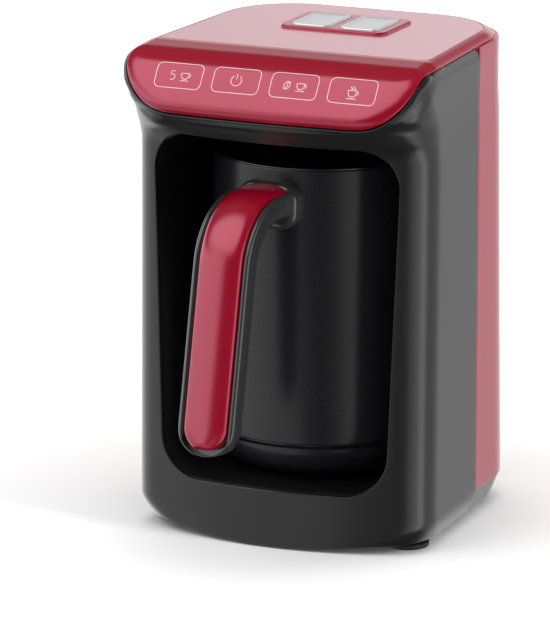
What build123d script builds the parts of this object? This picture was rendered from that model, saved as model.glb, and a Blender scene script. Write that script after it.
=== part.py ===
"""Electric Turkish coffee maker with a pull-out pot: every piece as its own solid.

Working frame: millimetres, +X to the right as seen from the front, +Y to the rear and
+Z up, with the pot's axis on X = Y = 0 and the feet on Z = 0. At the end all pieces are
moved together, so that the origin lies at the bottom centre of the bounding box.
"""
import os
from math import cos, radians, sin, tan

from build123d import *

os.makedirs("parts", exist_ok=True)

# ---------------------------------------------------------------- driving sizes
# Casing
body_half_w = 83.9        # half width at the front corners
side_lean = 2.3           # degrees that each side closes in toward the rear
rear_y = 91.5             # rearmost line of the casing, on the floor plane
rear_draft = 2.2          # degrees that the rear leans forward toward the top
front_y = -76.5           # middle of the bowed front, on the floor plane
front_draft = 0.8
front_bow = 12.0          # how far the front falls back over bow_half_w
bow_half_w = 70.0
front_corner_r = 20.0
rear_corner_r = 46.0
top_z = 258.4             # flat top of the hood
wall = 2.5                # moulded wall
skirt_z = 254.8           # lower edge of the hood along the sides
seam_y = 15.0             # seam between front housing and rear cover
seam_z = 15.5             # lower edge of the rear cover
lip_r = 7.0               # rounding of the hood's upper edge
reveal = 0.25             # open line round an inset panel
over = 10.0               # how far a cutting solid runs past what it cuts

# Base edge
base_z = 4.6              # underside of the base plate
base_t = 2.5
chin_z = 1.2              # lowest point of the front edge, in the middle
chin_half_w = 58.0        # half width of the dipping front edge
facet_in = 4.6            # side facet: inward run
facet_top_z = 17.0        # side facet: upper edge
facet_corner_r = 40.0     # front corners of the facet, on the floor plane
facet_rear_r = 50.0       # rear corners of the facet, on the floor plane

# Visor and fascia
flare_z = 200.0           # the front starts to flare out above here
cove_out = 2.0            # front of the cove under the visor, before front_y
cove_h = 8.0              # height of the cove
visor_bottom_z = 223.8    # lower edge of the visor's rim
visor_bottom_y = -81.5
fascia_bottom_z = 226.7   # lower edge of the red fascia
fascia_bottom_y = -83.2
ridge_z = 232.6           # foremost line of the fascia
ridge_y = -85.6
brow_z = 256.6            # where the sloping label face would meet the top
brow_y = -70.0
ridge_r = 8.0
brow_r = 7.0
brow_back = 2.5           # the brow's slope ends this far in front of the top plate
fascia_back_y = -60.0     # the fascia's side ends reach back to here
fascia_half_w = 82.6      # half width of the fascia at the top
fascia_corner_r = 33.0    # big lower corners of the fascia

# Top plate, bezel and buttons
plate_front_y = -43.5
plate_inset = 8.2         # from the casing's outline
plate_t = 1.0
plate_corner_r = 6.0
bezel_half_w = 30.5
bezel_l = 42.0
bezel_y = 28.0            # middle of the bezel
bezel_rise = 1.3          # flange above the top plate
bezel_lip = 2.5           # flange overlap on the top plate
bezel_corner_r = 6.0
bezel_round = 1.0         # rounding of the flange's upper edge
tray_depth = 8.4          # tray below the top plate
tray_t = 2.0
button_w = 22.0
button_l = 33.0
button_bar = 5.6          # space between the two buttons
button_corner_r = 3.6
button_round = 0.8        # rounding of the cap's upper edge
button_gap = 0.4          # running gap round a button
button_rise = 0.8         # button above the bezel
button_cap_t = 4.0
button_travel = 1.5
stem_r = 2.0
stem_fit = 0.08           # radial clearance of the stem in its guide
stem_below = 2.8          # stem end below the tray
collar_out = 0.7          # snap collar beyond the stem
collar_h = 1.0
end_gap = 0.3             # free end gap between moving pieces
spring_r = 3.6
spring_wire_r = 0.35
spring_turns = 4
spring_end_gap = 0.02     # between the wire's ends and their seats

# Pot bay
bay_half_top = 69.0       # half width of the opening at its top
bay_half_bottom = 62.8    # and at its floor
bay_floor_z = 31.5
bay_top_z = 214.0
bay_top_r = 20.0
bay_bottom_r = 22.0
bay_rear_r = 69.5         # rounded back of the bay, about the pot's axis
liner_t = 2.0

# Pot
pot_r_seam = 61.0         # outer radius at the seam with the base cap
pot_r_top = 58.5
pot_seam_z = 52.5
pot_top_z = 198.0
pot_wall = 2.2
pot_foot_gap = 0.5        # pot underside above the bay floor
pot_base_round = 20.0
cup_gap = 3.2             # air gap between outer shell and steel cup
cup_wall = 0.8
cup_floor_z = 57.0
cup_round = 6.0
cup_rim_in = 0.6          # edge of the cup's rim inside the shell's outer face
shell_rim_r = 0.9
shelf_t = 2.0             # shelf inside the base cap that carries the seal
seal_gap = 0.2
seal_w = 4.3
hot_plate_r = 44.0
hot_plate_t = 3.0
element_ring_r = 33.0
element_tube_r = 3.2
element_arc = 300.0
thermostat_r = 9.0
thermostat_h = 8.0
blade_x = 5.0             # terminal blades under the thermostat
blade_w = 5.0
blade_l = 6.0

# Handle, in a vertical plane through the pot's axis
handle_turn = -4.2        # degrees from straight ahead
handle_w = 32.0
handle_t = 17.6           # full depth of the grip, frame and insert
handle_end_r = 15.0       # corners of the grip's lower end
handle_end_rim = 3.3      # frame beyond the insert at the lower end
insert_w = 25.0
insert_depth = 8.0        # insert, from its crown to its seat
frame_step = 3.6          # frame's front edge behind the insert's crown
arm_top_z = 191.5
bend_r = 40.0             # outer bend from arm to grip
grip_top_r = 116.2        # outer face of the grip at grip_top_z, from the pot's axis
grip_top_z = 163.0
grip_low_r = 136.2        # outer face of the grip at its lower end
grip_low_z = 63.0
boss_w = 35.0
boss_h = 25.0
boss_t = 7.0
boss_corner_r = 10.0      # lower corners of the boss
boss_top_r = 12.0         # upper corners of the boss
boss_round = 3.0
boss_rise = 0.8           # boss above the arm
handle_screw_l = 8.5
handle_screw_down = (6.5, 17.0)   # screws below the arm's top
head_seat_out = 0.2       # seat of the screw heads outside the shell's inner face
frame_outer_r = 1.2       # edges of the frame's front and back
frame_inner_r = 5.0
crown_r = 3.2             # edges of the insert's crown and seat
seat_r = 1.0

# Plug connection between pot and machine
plug_z = 44.0
plug_w = 34.0
plug_h = 13.0
block_r = 2.0             # corners of plug, socket and sensor box
plug_in = 13.0            # plug block inside the pot's radius
plug_out = 4.5            # plug block beyond the pot's radius
pin_r = 2.0
pin_pitch = 10.0
pin_l = 9.0
pin_tail = 3.0            # pin inside the pot, past the plug block
pin_chamfer = 0.8
pin_clear = 0.4           # radial clearance of a pin in the socket
socket_w = 40.0
socket_h = 18.0
socket_gap = 1.0          # between plug face and socket face
socket_l = 17.0
contact_in = 4.0          # contact behind the socket's face
contact_wall = 1.0
contact_l = 7.0
contact_tail = 2.0
tab_t = 0.8
tab_w = 4.0

# Feet, screws, gland
foot_r = 11.0
foot_front_y = -41.0
foot_front_in = 17.2      # foot's axis inside the casing's side
foot_rear_y = 58.0
foot_rear_in = 23.2
foot_chamfer = 0.8
foot_stud_r = 3.0
foot_stud_out = 1.5       # stud above the base plate
screw_r = 1.5
screw_head_r = 2.9
screw_head_h = 1.8
screw_l = 18.0
screw_clear = 0.1         # radial clearance of a through hole
slot_l = 3.6              # cross recess in a screw's head
slot_w = 0.8
thread_fit = 0.05
hole_spare = 0.5          # blind hole past the screw's end
boss_r = 4.5
base_boss_front_y = -22.0
base_boss_rear_y = 38.0
base_boss_in = 9.0        # boss axis inside the casing's side
base_rib_t = 3.0          # rib that ties a boss to the wall
base_boss_h = 18.0
liner_post_x = 35.0       # posts under the bay's floor
liner_post_front_y = -30.0
liner_post_rear_y = 40.0
vent_count = 5
vent_pitch = 12.0
vent_w = 4.0
vent_l = 40.0
gland_x = 20.0
gland_z = 28.0
gland_r = 6.5
gland_flange_r = 9.0
gland_out = 3.0           # flange beyond the rear cover
gland_in = 9.0            # gland inside the rear cover
gland_bore_r = 3.3
nut_t = 4.0

# Electrics
board_t = 1.6
control_board_w = 58.0
control_board_l = 34.0
switch_w = 6.0
switch_h = 3.0
plunger_r = 1.7
plunger_h = 0.5
switch_spare = 0.2        # left between stem and plunger when a button is down
led_r = 1.5
led_h = 3.2
led_side = 7.0            # LED beside its switch
buzzer_r = 5.5
buzzer_h = 6.0
buzzer_hole_t = 1.0
power_board_w = 96.0
power_board_l = 44.0
power_board_y = 28.0
power_board_up = 8.0      # power board above the bay's roof
post_r = 3.0
post_inset = 4.5
small_screw_r = 1.0
small_head_r = 1.9
small_head_h = 1.2
small_screw_l = 6.0
sensor_y = -18.0          # boil-over sensor in the bay's roof
sensor_r = 7.0
sensor_box = 20.0
sensor_h = 9.0
lens_round = 0.6
part_r = 0.8              # corners of small moulded blocks
transformer_size = (20.0, 24.0, 13.5)
transformer_x = -28.0
relay_size = (16.0, 20.0, 13.0)
relay_x = 28.0
relay_ahead = 8.0         # before the middle of the power board
capacitor_r = 4.5
capacitor_h = 13.0
capacitor_x = 12.5
capacitor_ahead = 14.0    # before the middle of the power board
capacitor_chamfer = 0.6
connector_size = (12.0, 8.0, 8.0)
upper_plug_ahead = 8.0    # before the middle of the control board
lower_plug_behind = 14.0  # behind the middle of the power board
ribbon_w = 16.0
ribbon_t = 0.8
ribbon_in = 1.0           # ribbon inside the lower plug
loom_r = 2.6
loom_x = 34.0
loom_y = 68.0
loom_bend = 9.0
loom_up = 2.0             # wires above the power board
loom_plug = (10.0, 6.0)
loom_plug_in = 8.0        # plug before the power board's rear edge
loom_plug_rise = 3.0      # plug above the wires' diameter
terminal_size = (22.0, 14.0, 12.0)


# ---------------------------------------------------------------- shared outlines
def front_at(z):
    """Middle of the bowed front at height z."""
    return front_y + z * tan(radians(front_draft))


def rear_at(z):
    """Rearmost line of the casing at height z."""
    return rear_y - z * tan(radians(rear_draft))


def side_at(y):
    """Half width of the casing at y, above the facet."""
    front_corner_y = front_y + front_bow * (body_half_w / bow_half_w) ** 2
    return body_half_w - (y - front_corner_y) * tan(radians(side_lean))


def casing_plan(z, inset=0.0, front=None, bow=front_bow, corner=front_corner_r, widen=0.0, facet=0.0):
    """Horizontal outline of the casing at height z, moved inward by inset."""
    if front is None:
        front = front_at(z)
    corner_y = front + bow * (body_half_w / bow_half_w) ** 2
    rear_half_w = body_half_w - facet - (rear_at(z) - corner_y) * tan(radians(side_lean))
    half_w = body_half_w + widen - facet
    with BuildSketch(Plane.XY.offset(z)) as plan:
        with BuildLine():
            ThreePointArc((-half_w, corner_y), (0, front), (half_w, corner_y))
            Polyline(
                (half_w, corner_y),
                (rear_half_w, rear_at(z)),
                (-rear_half_w, rear_at(z)),
                (-half_w, corner_y),
            )
        make_face()
        fillet(plan.vertices().group_by(Axis.Y)[0], radius=corner)
        fillet(plan.vertices().group_by(Axis.Y)[-1], radius=facet_rear_r if facet else rear_corner_r)
        if inset:
            offset(amount=-inset, kind=Kind.INTERSECTION)
    return plan.sketch


def side_profile(inset=0.0):
    """Side view of the casing's upper front, drawn in the YZ plane, moved inward by inset."""
    front_limit = front_y - cove_out
    low_z = flare_z - 2.0 * over
    with BuildSketch(Plane.YZ) as profile:
        with BuildLine():
            Polyline(
                (front_limit, low_z),
                (front_limit, visor_bottom_z - cove_h),
                (visor_bottom_y, visor_bottom_z),
                (fascia_bottom_y, fascia_bottom_z),
                (ridge_y, ridge_z),
                (brow_y, brow_z),
                (plate_front_y - brow_back, top_z),
                (rear_y + over, top_z),
                (rear_y + over, low_z),
                (front_limit, low_z),
            )
        make_face()
        ridge = profile.vertices().sort_by_distance((ridge_y, ridge_z, 0))[0]
        fillet(ridge, radius=ridge_r)
        brow = profile.vertices().sort_by_distance((brow_y, brow_z, 0))[0]
        fillet(brow, radius=brow_r)
        if inset:
            offset(amount=-inset, kind=Kind.INTERSECTION)
    return profile.sketch


# Visor sections: height, then front, bow, corner radius and widening of the outline.
visor_sections = (
    (flare_z, front_at(flare_z), front_bow, front_corner_r, 0.0),
    (flare_z + 7.0, front_at(flare_z), front_bow, front_corner_r, 0.0),
    (bay_top_z, front_at(flare_z) - 1.6, front_bow - 1.2, front_corner_r + 2.0, 0.2),
    (visor_bottom_z - 3.8, visor_bottom_y + 2.3, 7.5, front_corner_r + 9.0, 0.8),
    (fascia_bottom_z - 0.7, fascia_bottom_y - 0.2, 3.5, front_corner_r + 15.0, 1.6),
    (ridge_z + 0.4, ridge_y - 0.6, 1.0, front_corner_r + 14.0, 2.4),
    (ridge_z + 9.4, ridge_y + 3.4, 1.0, front_corner_r + 2.0, 2.6),
    (skirt_z - 4.4, brow_y - 7.5, 1.0, front_corner_r - 3.0, 2.4),
)


def below_edge():
    """Prism below the casing's lower edge, which dips in the middle of the front."""
    far_x = body_half_w + over
    far_z = -over
    with BuildPart() as below:
        with BuildSketch(Plane.XZ):
            with BuildLine():
                Polyline(
                    (chin_half_w, base_z),
                    (far_x, base_z),
                    (far_x, far_z),
                    (-far_x, far_z),
                    (-far_x, base_z),
                    (-chin_half_w, base_z),
                )
                ThreePointArc((-chin_half_w, base_z), (0, chin_z), (chin_half_w, base_z))
            make_face()
        extrude(amount=2.0 * rear_y, both=True)
    return below.part


def casing_hull(inset=0.0):
    """Closed outer form of the whole casing, moved inward by inset."""
    with BuildPart() as hull:
        loft(sections=[casing_plan(z, inset, *shape) for z, *shape in visor_sections])
        last_z, *last_shape = visor_sections[-1]
        extrude(casing_plan(last_z, inset, *last_shape), amount=top_z - inset - last_z)
        fillet(hull.faces().sort_by(Axis.Z)[-1].edges(), radius=lip_r - inset)
        extrude(side_profile(inset), amount=body_half_w + over, both=True, mode=Mode.INTERSECT)
        body = [
            casing_plan(0.0, inset, corner=facet_corner_r, facet=floor_facet),
            casing_plan(facet_top_z, inset),
            casing_plan(flare_z, inset),
        ]
        loft(sections=body, ruled=True)
        if not inset:
            add(below_edge(), mode=Mode.SUBTRACT)
    return hull.part


def fascia_prism(grow=0.0):
    """Prism of the fascia's smile-shaped front outline."""
    bottom = fascia_bottom_z - grow
    half_w = fascia_half_w + grow
    top = top_z + over
    with BuildPart() as prism:
        with BuildSketch(Plane.XZ.offset(-fascia_back_y)):
            with BuildLine():
                Polyline((-half_w, top), (-half_w, bottom), (half_w, bottom), (half_w, top), close=True)
            make_face()
            lower = faces().vertices().group_by(Axis.Y)[0]
            fillet(lower, radius=fascia_corner_r + grow)
        extrude(amount=fascia_back_y - ridge_y + over)
    return prism.part


def bay_space(grow=0.0):
    """Free space of the pot bay, moved outward by grow; it runs out through the front."""
    top = bay_top_z + grow
    floor = bay_floor_z - grow
    with BuildPart() as space:
        with BuildSketch(Plane.XZ.offset(-bay_rear_r - grow)):
            with BuildLine():
                Polyline(
                    (bay_half_top + grow, top),
                    (-bay_half_top - grow, top),
                    (-bay_half_bottom - grow, floor),
                    (bay_half_bottom + grow, floor),
                    close=True,
                )
            make_face()
            fillet(faces().vertices().group_by(Axis.Y)[-1], radius=bay_top_r + grow)
            fillet(faces().vertices().group_by(Axis.Y)[0], radius=bay_bottom_r + grow)
        extrude(amount=bay_rear_r + grow - front_y + 2.0 * over)
        with BuildSketch(Plane.XY.offset(floor - over)):
            with BuildLine():
                CenterArc((0, 0), bay_rear_r + grow, 0, 180)
                Polyline(
                    (-bay_rear_r - grow, 0),
                    (-bay_rear_r - grow, front_y - 3.0 * over),
                    (bay_rear_r + grow, front_y - 3.0 * over),
                    (bay_rear_r + grow, 0),
                )
            make_face()
        extrude(amount=top - floor + 2.0 * over, mode=Mode.INTERSECT)
    return space.part


def pot_radius(z):
    """Outer radius of the pot's shell at height z."""
    share = (z - pot_seam_z) / (pot_top_z - pot_seam_z)
    return pot_r_seam + (pot_r_top - pot_r_seam) * share


floor_facet = facet_in * facet_top_z / (facet_top_z - base_z)
hull = casing_hull()
cavity = casing_hull(wall)
bay = bay_space()
bay_outer = bay_space(liner_t)

pieces = []


def keep(part, name):
    """Label a finished piece and put it on the list of pieces to write."""
    part.label = name
    pieces.append(part)


# ---------------------------------------------------------------- casing
power_board_z = bay_top_z + liner_t + power_board_up


def pairs(y, inward):
    """Places on both sides of the casing, inward from its side at y."""
    return [(side * (side_at(y) - inward), y) for side in (1, -1)]


base_bosses = pairs(base_boss_front_y, base_boss_in) + pairs(base_boss_rear_y, base_boss_in)
base_ribs = pairs(base_boss_front_y, base_boss_in - boss_r) + pairs(base_boss_rear_y, base_boss_in - boss_r)
foot_places = pairs(foot_front_y, foot_front_in) + pairs(foot_rear_y, foot_rear_in)

# Front housing: front, both sides up to the seam, and the black rim round the fascia.
with BuildPart() as front_housing:
    add(hull)
    add(cavity, mode=Mode.SUBTRACT)
    split(bisect_by=Plane.XZ.offset(-seam_y), keep=Keep.TOP)
    split(bisect_by=Plane.XY.offset(skirt_z), keep=Keep.BOTTOM)
    add(fascia_prism(reveal), mode=Mode.SUBTRACT)
    add(bay, mode=Mode.SUBTRACT)
    with BuildSketch(Plane.XY.offset(base_z + base_t)):
        with Locations(base_bosses[:2]):
            Circle(boss_r)
        with Locations(base_ribs[:2]):
            Rectangle(2.0 * boss_r, base_rib_t)
    extrude(amount=base_boss_h)
    add(hull, mode=Mode.INTERSECT)
    with BuildSketch(Plane.XY.offset(base_z + base_t)):
        with Locations(base_bosses[:2]):
            Circle(screw_r + thread_fit)
    extrude(amount=screw_l, mode=Mode.SUBTRACT)
keep(front_housing.part, "front_housing")

# Rear cover: the rear and the rear part of both sides, with the hole for the cord gland.
with BuildPart() as rear_cover:
    add(hull)
    add(cavity, mode=Mode.SUBTRACT)
    split(bisect_by=Plane.XZ.offset(-seam_y), keep=Keep.BOTTOM)
    split(bisect_by=Plane.XY.offset(skirt_z), keep=Keep.BOTTOM)
    split(bisect_by=Plane.XY.offset(seam_z), keep=Keep.TOP)
    with BuildSketch(Plane.XY.offset(seam_z)):
        with Locations(base_bosses[2:]):
            Circle(boss_r)
        with Locations(base_ribs[2:]):
            Rectangle(2.0 * boss_r, base_rib_t)
    extrude(amount=base_boss_h)
    add(hull, mode=Mode.INTERSECT)
    with BuildSketch(Plane.XY.offset(seam_z)):
        with Locations(base_bosses[2:]):
            Circle(screw_r + thread_fit)
    extrude(amount=screw_l, mode=Mode.SUBTRACT)
    with BuildSketch(Plane.XZ.offset(-rear_y - over)):
        with Locations((gland_x, gland_z)):
            Circle(gland_r)
    extrude(amount=4.0 * over, mode=Mode.SUBTRACT)
keep(rear_cover.part, "rear_cover")


# Hood: top frame, rounded brow and sloping fascia in one moulding.
top_shape = visor_sections[-1][1:]
seat_z = top_z - plate_t


def plate_outline(z, inset):
    """Outline of the inset top plate, cut straight at its front."""
    front_line = plate_front_y + inset - plate_inset
    with BuildSketch(Plane.XY.offset(z)) as outline:
        add(casing_plan(z, inset, *top_shape))
        with Locations((0, front_line + rear_y)):
            Rectangle(4.0 * body_half_w, 2.0 * rear_y, mode=Mode.INTERSECT)
        fillet(outline.vertices().group_by(Axis.Y)[0], radius=plate_corner_r)
    return outline.sketch


tray_half_w = bezel_half_w - bezel_lip
tray_l = bezel_l - 2.0 * bezel_lip
tray_z = top_z - tray_depth

with BuildPart() as hood:
    add(hull)
    add(cavity, mode=Mode.SUBTRACT)
    with BuildPart(mode=Mode.INTERSECT):
        with BuildSketch(Plane.XY.offset(skirt_z)):
            Rectangle(4.0 * body_half_w, 4.0 * rear_y)
        extrude(amount=top_z - skirt_z + over)
        add(fascia_prism())
    extrude(plate_outline(seat_z, plate_inset - reveal), amount=plate_t + over, mode=Mode.SUBTRACT)
    with BuildSketch(Plane.XY.offset(tray_z)):
        with Locations((0, bezel_y)):
            RectangleRounded(2.0 * tray_half_w, tray_l, bezel_corner_r - bezel_lip)
    extrude(amount=tray_depth + over, mode=Mode.SUBTRACT)
keep(hood.part, "hood")

# Top plate: pearly panel let into the hood.
with BuildPart() as top_plate:
    extrude(plate_outline(seat_z, plate_inset), amount=plate_t)
    with BuildSketch(Plane.XY.offset(seat_z)):
        with Locations((0, bezel_y)):
            RectangleRounded(2.0 * tray_half_w, tray_l, bezel_corner_r - bezel_lip)
    extrude(amount=plate_t, mode=Mode.SUBTRACT)
keep(top_plate.part, "top_plate")

# ---------------------------------------------------------------- buttons
button_x = (button_bar + button_w) / 2.0
button_top_z = top_z + bezel_rise + button_rise
cap_z = button_top_z - button_cap_t
floor_z = tray_z + tray_t
switch_gap = button_travel + switch_spare
stem_end_z = tray_z - stem_below
switch_top_z = stem_end_z - switch_gap - plunger_h
control_z = switch_top_z - switch_h - board_t
control_posts = [
    (side * (control_board_w / 2.0 - post_inset), bezel_y + end * (control_board_l / 2.0 - post_inset))
    for side in (-1, 1)
    for end in (-1, 1)
]

# Bezel: raised frame round the buttons with the tray that guides their stems.
with BuildPart() as button_bezel:
    with BuildSketch(Plane.XY.offset(tray_z)):
        with Locations((0, bezel_y)):
            RectangleRounded(2.0 * tray_half_w - 2 * stem_fit, tray_l - 2 * stem_fit, bezel_corner_r - bezel_lip)
    extrude(amount=tray_depth)
    with BuildSketch(Plane.XY.offset(top_z)):
        with Locations((0, bezel_y)):
            RectangleRounded(2.0 * bezel_half_w, bezel_l, bezel_corner_r)
    extrude(amount=bezel_rise)
    fillet(button_bezel.faces().sort_by(Axis.Z)[-1].outer_wire().edges(), radius=bezel_round)
    with BuildSketch(Plane.XY.offset(floor_z)):
        with Locations((-button_x, bezel_y), (button_x, bezel_y)):
            RectangleRounded(button_w + 2 * button_gap, button_l + 2 * button_gap, button_corner_r + button_gap)
    extrude(amount=tray_depth + bezel_rise, mode=Mode.SUBTRACT)
    with BuildSketch(Plane.XY.offset(control_z + board_t)):
        with Locations(control_posts):
            Circle(post_r)
    extrude(amount=tray_z - control_z - board_t)
    with BuildSketch(Plane.XY.offset(control_z)):
        with Locations(control_posts):
            Circle(small_screw_r + thread_fit)
    extrude(amount=small_screw_l + hole_spare, mode=Mode.SUBTRACT)
    with BuildSketch(Plane.XY.offset(tray_z)):
        with Locations((-button_x, bezel_y), (button_x, bezel_y)):
            Circle(stem_r + stem_fit)
    extrude(amount=tray_t, mode=Mode.SUBTRACT)
keep(button_bezel.part, "button_bezel")


def push_button(x):
    """Button cap with its stem and the snap collar that holds it in the tray."""
    with BuildPart() as button:
        with BuildSketch(Plane.XY.offset(cap_z)):
            with Locations((x, bezel_y)):
                RectangleRounded(button_w, button_l, button_corner_r)
        extrude(amount=button_cap_t)
        fillet(button.faces().sort_by(Axis.Z)[-1].edges(), radius=button_round)
        with BuildSketch(Plane.XY.offset(stem_end_z)):
            with Locations((x, bezel_y)):
                Circle(stem_r)
        extrude(amount=cap_z - stem_end_z)
        with BuildSketch(Plane.XY.offset(tray_z - end_gap - collar_h)):
            with Locations((x, bezel_y)):
                Circle(stem_r + collar_out)
        extrude(amount=collar_h)
    return button.part


def return_spring(x):
    """Coil spring between the tray's floor and the underside of a button."""
    coil_h = cap_z - floor_z - 2.0 * (spring_wire_r + spring_end_gap)
    pitch = coil_h / spring_turns
    start_z = floor_z + spring_wire_r + spring_end_gap
    with BuildPart() as spring:
        with BuildLine() as path:
            Helix(pitch=pitch, height=coil_h, radius=spring_r, center=(x, bezel_y, start_z))
        with BuildSketch(Plane(origin=path.line @ 0, z_dir=path.line % 0)):
            Circle(spring_wire_r)
        sweep()
    return spring.part


for side, x in (("left", -button_x), ("right", button_x)):
    keep(push_button(x), "button_" + side)
    keep(return_spring(x), "button_spring_" + side)

# ---------------------------------------------------------------- bay
power_posts = [
    (side * (power_board_w / 2.0 - post_inset), power_board_y + end * (power_board_l / 2.0 - post_inset))
    for side in (-1, 1)
    for end in (-1, 1)
]
roof_z = bay_top_z + liner_t
plug_y = pot_r_seam + plug_out
socket_y = plug_y + socket_gap

# Liner of the pot bay, with the posts of the power board on its roof.
with BuildPart() as bay_liner:
    add(bay_outer)
    add(bay, mode=Mode.SUBTRACT)
    add(cavity, mode=Mode.INTERSECT)
    with BuildSketch(Plane.XY.offset(roof_z)):
        with Locations(power_posts):
            Circle(post_r)
    extrude(amount=power_board_up)
    with BuildSketch(Plane.XY.offset(roof_z + power_board_up)):
        with Locations(power_posts):
            Circle(small_screw_r + thread_fit)
    extrude(amount=-small_screw_l, mode=Mode.SUBTRACT)
    with BuildSketch(Plane.XY.offset(bay_top_z)):
        with Locations((0, sensor_y)):
            Circle(sensor_r)
    extrude(amount=liner_t, mode=Mode.SUBTRACT)
    with BuildSketch(Plane.XZ.offset(-socket_y - socket_l)):
        with Locations((0, plug_z)):
            RectangleRounded(socket_w, socket_h, block_r)
    extrude(amount=socket_l + over, mode=Mode.SUBTRACT)
keep(bay_liner.part, "bay_liner")

# Base plate with the dark ring under the rear cover and the posts under the bay.
liner_posts = [
    (side * liner_post_x, y)
    for y in (liner_post_front_y, liner_post_rear_y)
    for side in (-1, 1)
]
with BuildPart() as base_plate:
    add(cavity)
    with BuildSketch(Plane.XY.offset(base_z)):
        Rectangle(4.0 * body_half_w, 4.0 * rear_y)
    extrude(amount=base_t, mode=Mode.INTERSECT)
    with BuildPart():
        add(hull)
        add(cavity, mode=Mode.SUBTRACT)
        split(bisect_by=Plane.XZ.offset(-seam_y - reveal), keep=Keep.BOTTOM)
        split(bisect_by=Plane.XY.offset(seam_z - reveal), keep=Keep.BOTTOM)
    with BuildSketch(Plane.XY.offset(base_z + base_t)):
        with Locations(liner_posts):
            Circle(boss_r)
    extrude(amount=bay_floor_z - liner_t - base_z - base_t)
    with BuildSketch(Plane.XY.offset(base_z + base_t)):
        with Locations(base_bosses[2:]):
            Circle(boss_r)
    extrude(amount=seam_z - base_z - base_t)
    with BuildSketch(Plane.XY.offset(base_z)):
        with Locations(base_bosses):
            Circle(screw_r + thread_fit)
        with Locations(foot_places):
            Circle(foot_stud_r + thread_fit)
        with GridLocations(vent_pitch, vent_pitch, vent_count, 1):
            SlotOverall(vent_l, vent_w, rotation=90)
    extrude(amount=seam_z - base_z, mode=Mode.SUBTRACT)
keep(base_plate.part, "base_plate")

# Four rubber feet with studs snapped into the base plate.
with BuildPart() as feet:
    with BuildSketch(Plane.XY):
        with Locations(foot_places):
            Circle(foot_r)
    extrude(amount=base_z)
    chamfer(feet.faces().group_by(Axis.Z)[0].edges(), length=foot_chamfer)
    with BuildSketch(Plane.XY.offset(base_z)):
        with Locations(foot_places):
            Circle(foot_stud_r)
    extrude(amount=base_t + foot_stud_out)
keep(feet.part, "feet")

# Four screws through the base plate into the casing.
with BuildPart() as base_screws:
    with BuildSketch(Plane.XY.offset(base_z - screw_head_h)):
        with Locations(base_bosses):
            Circle(screw_head_r)
    extrude(amount=screw_head_h)
    with BuildSketch(Plane.XY.offset(base_z)):
        with Locations(base_bosses):
            Circle(screw_r)
    extrude(amount=screw_l)
    with BuildSketch(Plane.XY.offset(base_z - screw_head_h)):
        with Locations(base_bosses):
            Rectangle(slot_l, slot_w)
            Rectangle(slot_w, slot_l)
    extrude(amount=screw_head_h / 2.0, mode=Mode.SUBTRACT)
keep(base_screws.part, "base_screws")

# Cord gland in the rear cover and its nut on the inside.
gland_back_y = rear_at(gland_z) + gland_out
with BuildPart() as cable_gland:
    with BuildSketch(Plane.XZ.offset(-gland_back_y)):
        with Locations((gland_x, gland_z)):
            Circle(gland_flange_r)
    extrude(amount=gland_out + wall)
    add(hull, mode=Mode.SUBTRACT)
    with BuildSketch(Plane.XZ.offset(-gland_back_y)):
        with Locations((gland_x, gland_z)):
            Circle(gland_r)
    extrude(amount=gland_out + wall + gland_in)
    with BuildSketch(Plane.XZ.offset(-gland_back_y)):
        with Locations((gland_x, gland_z)):
            Circle(gland_bore_r)
    extrude(amount=gland_out + wall + gland_in, mode=Mode.SUBTRACT)
keep(cable_gland.part, "cable_gland")

with BuildPart() as gland_nut:
    with BuildSketch(Plane.XZ.offset(-rear_at(gland_z))):
        with Locations((gland_x, gland_z)):
            RegularPolygon(gland_flange_r, 6)
            Circle(gland_r, mode=Mode.SUBTRACT)
    extrude(amount=wall + nut_t)
    add(cavity, mode=Mode.INTERSECT)
keep(gland_nut.part, "gland_nut")

# ---------------------------------------------------------------- electrics
switch_x = (-button_x, button_x)
board_top_z = control_z + board_t

# Control board on the posts of the tray.
with BuildPart() as control_board:
    with BuildSketch(Plane.XY.offset(control_z)):
        with Locations((0, bezel_y)):
            Rectangle(control_board_w, control_board_l)
        with Locations(control_posts):
            Circle(small_screw_r + thread_fit, mode=Mode.SUBTRACT)
    extrude(amount=board_t)
keep(control_board.part, "control_board")

with BuildPart() as tact_switches:
    with BuildSketch(Plane.XY.offset(board_top_z)):
        with Locations([(x, bezel_y) for x in switch_x]):
            Rectangle(switch_w, switch_w)
    extrude(amount=switch_h)
    with BuildSketch(Plane.XY.offset(board_top_z + switch_h)):
        with Locations([(x, bezel_y) for x in switch_x]):
            Circle(plunger_r)
    extrude(amount=plunger_h)
keep(tact_switches.part, "tact_switches")

with BuildPart() as status_leds:
    with BuildSketch(Plane.XY.offset(board_top_z)):
        with Locations([(x, bezel_y - led_side) for x in switch_x]):
            Circle(led_r)
    extrude(amount=led_h)
    fillet(status_leds.faces().group_by(Axis.Z)[-1].edges(), radius=led_r * 0.7)
keep(status_leds.part, "status_leds")

with BuildPart() as buzzer:
    with BuildSketch(Plane.XY.offset(board_top_z)):
        with Locations((0, bezel_y)):
            Circle(buzzer_r)
    extrude(amount=buzzer_h)
    with BuildSketch(Plane.XY.offset(board_top_z + buzzer_h)):
        with Locations((0, bezel_y)):
            Circle(plunger_r)
    extrude(amount=-buzzer_hole_t, mode=Mode.SUBTRACT)
keep(buzzer.part, "buzzer")

# Power board on the roof of the bay.
power_top_z = power_board_z + board_t
with BuildPart() as power_board:
    with BuildSketch(Plane.XY.offset(power_board_z)):
        with Locations((0, power_board_y)):
            Rectangle(power_board_w, power_board_l)
        with Locations(power_posts):
            Circle(small_screw_r + thread_fit, mode=Mode.SUBTRACT)
    extrude(amount=board_t)
keep(power_board.part, "power_board")


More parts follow.
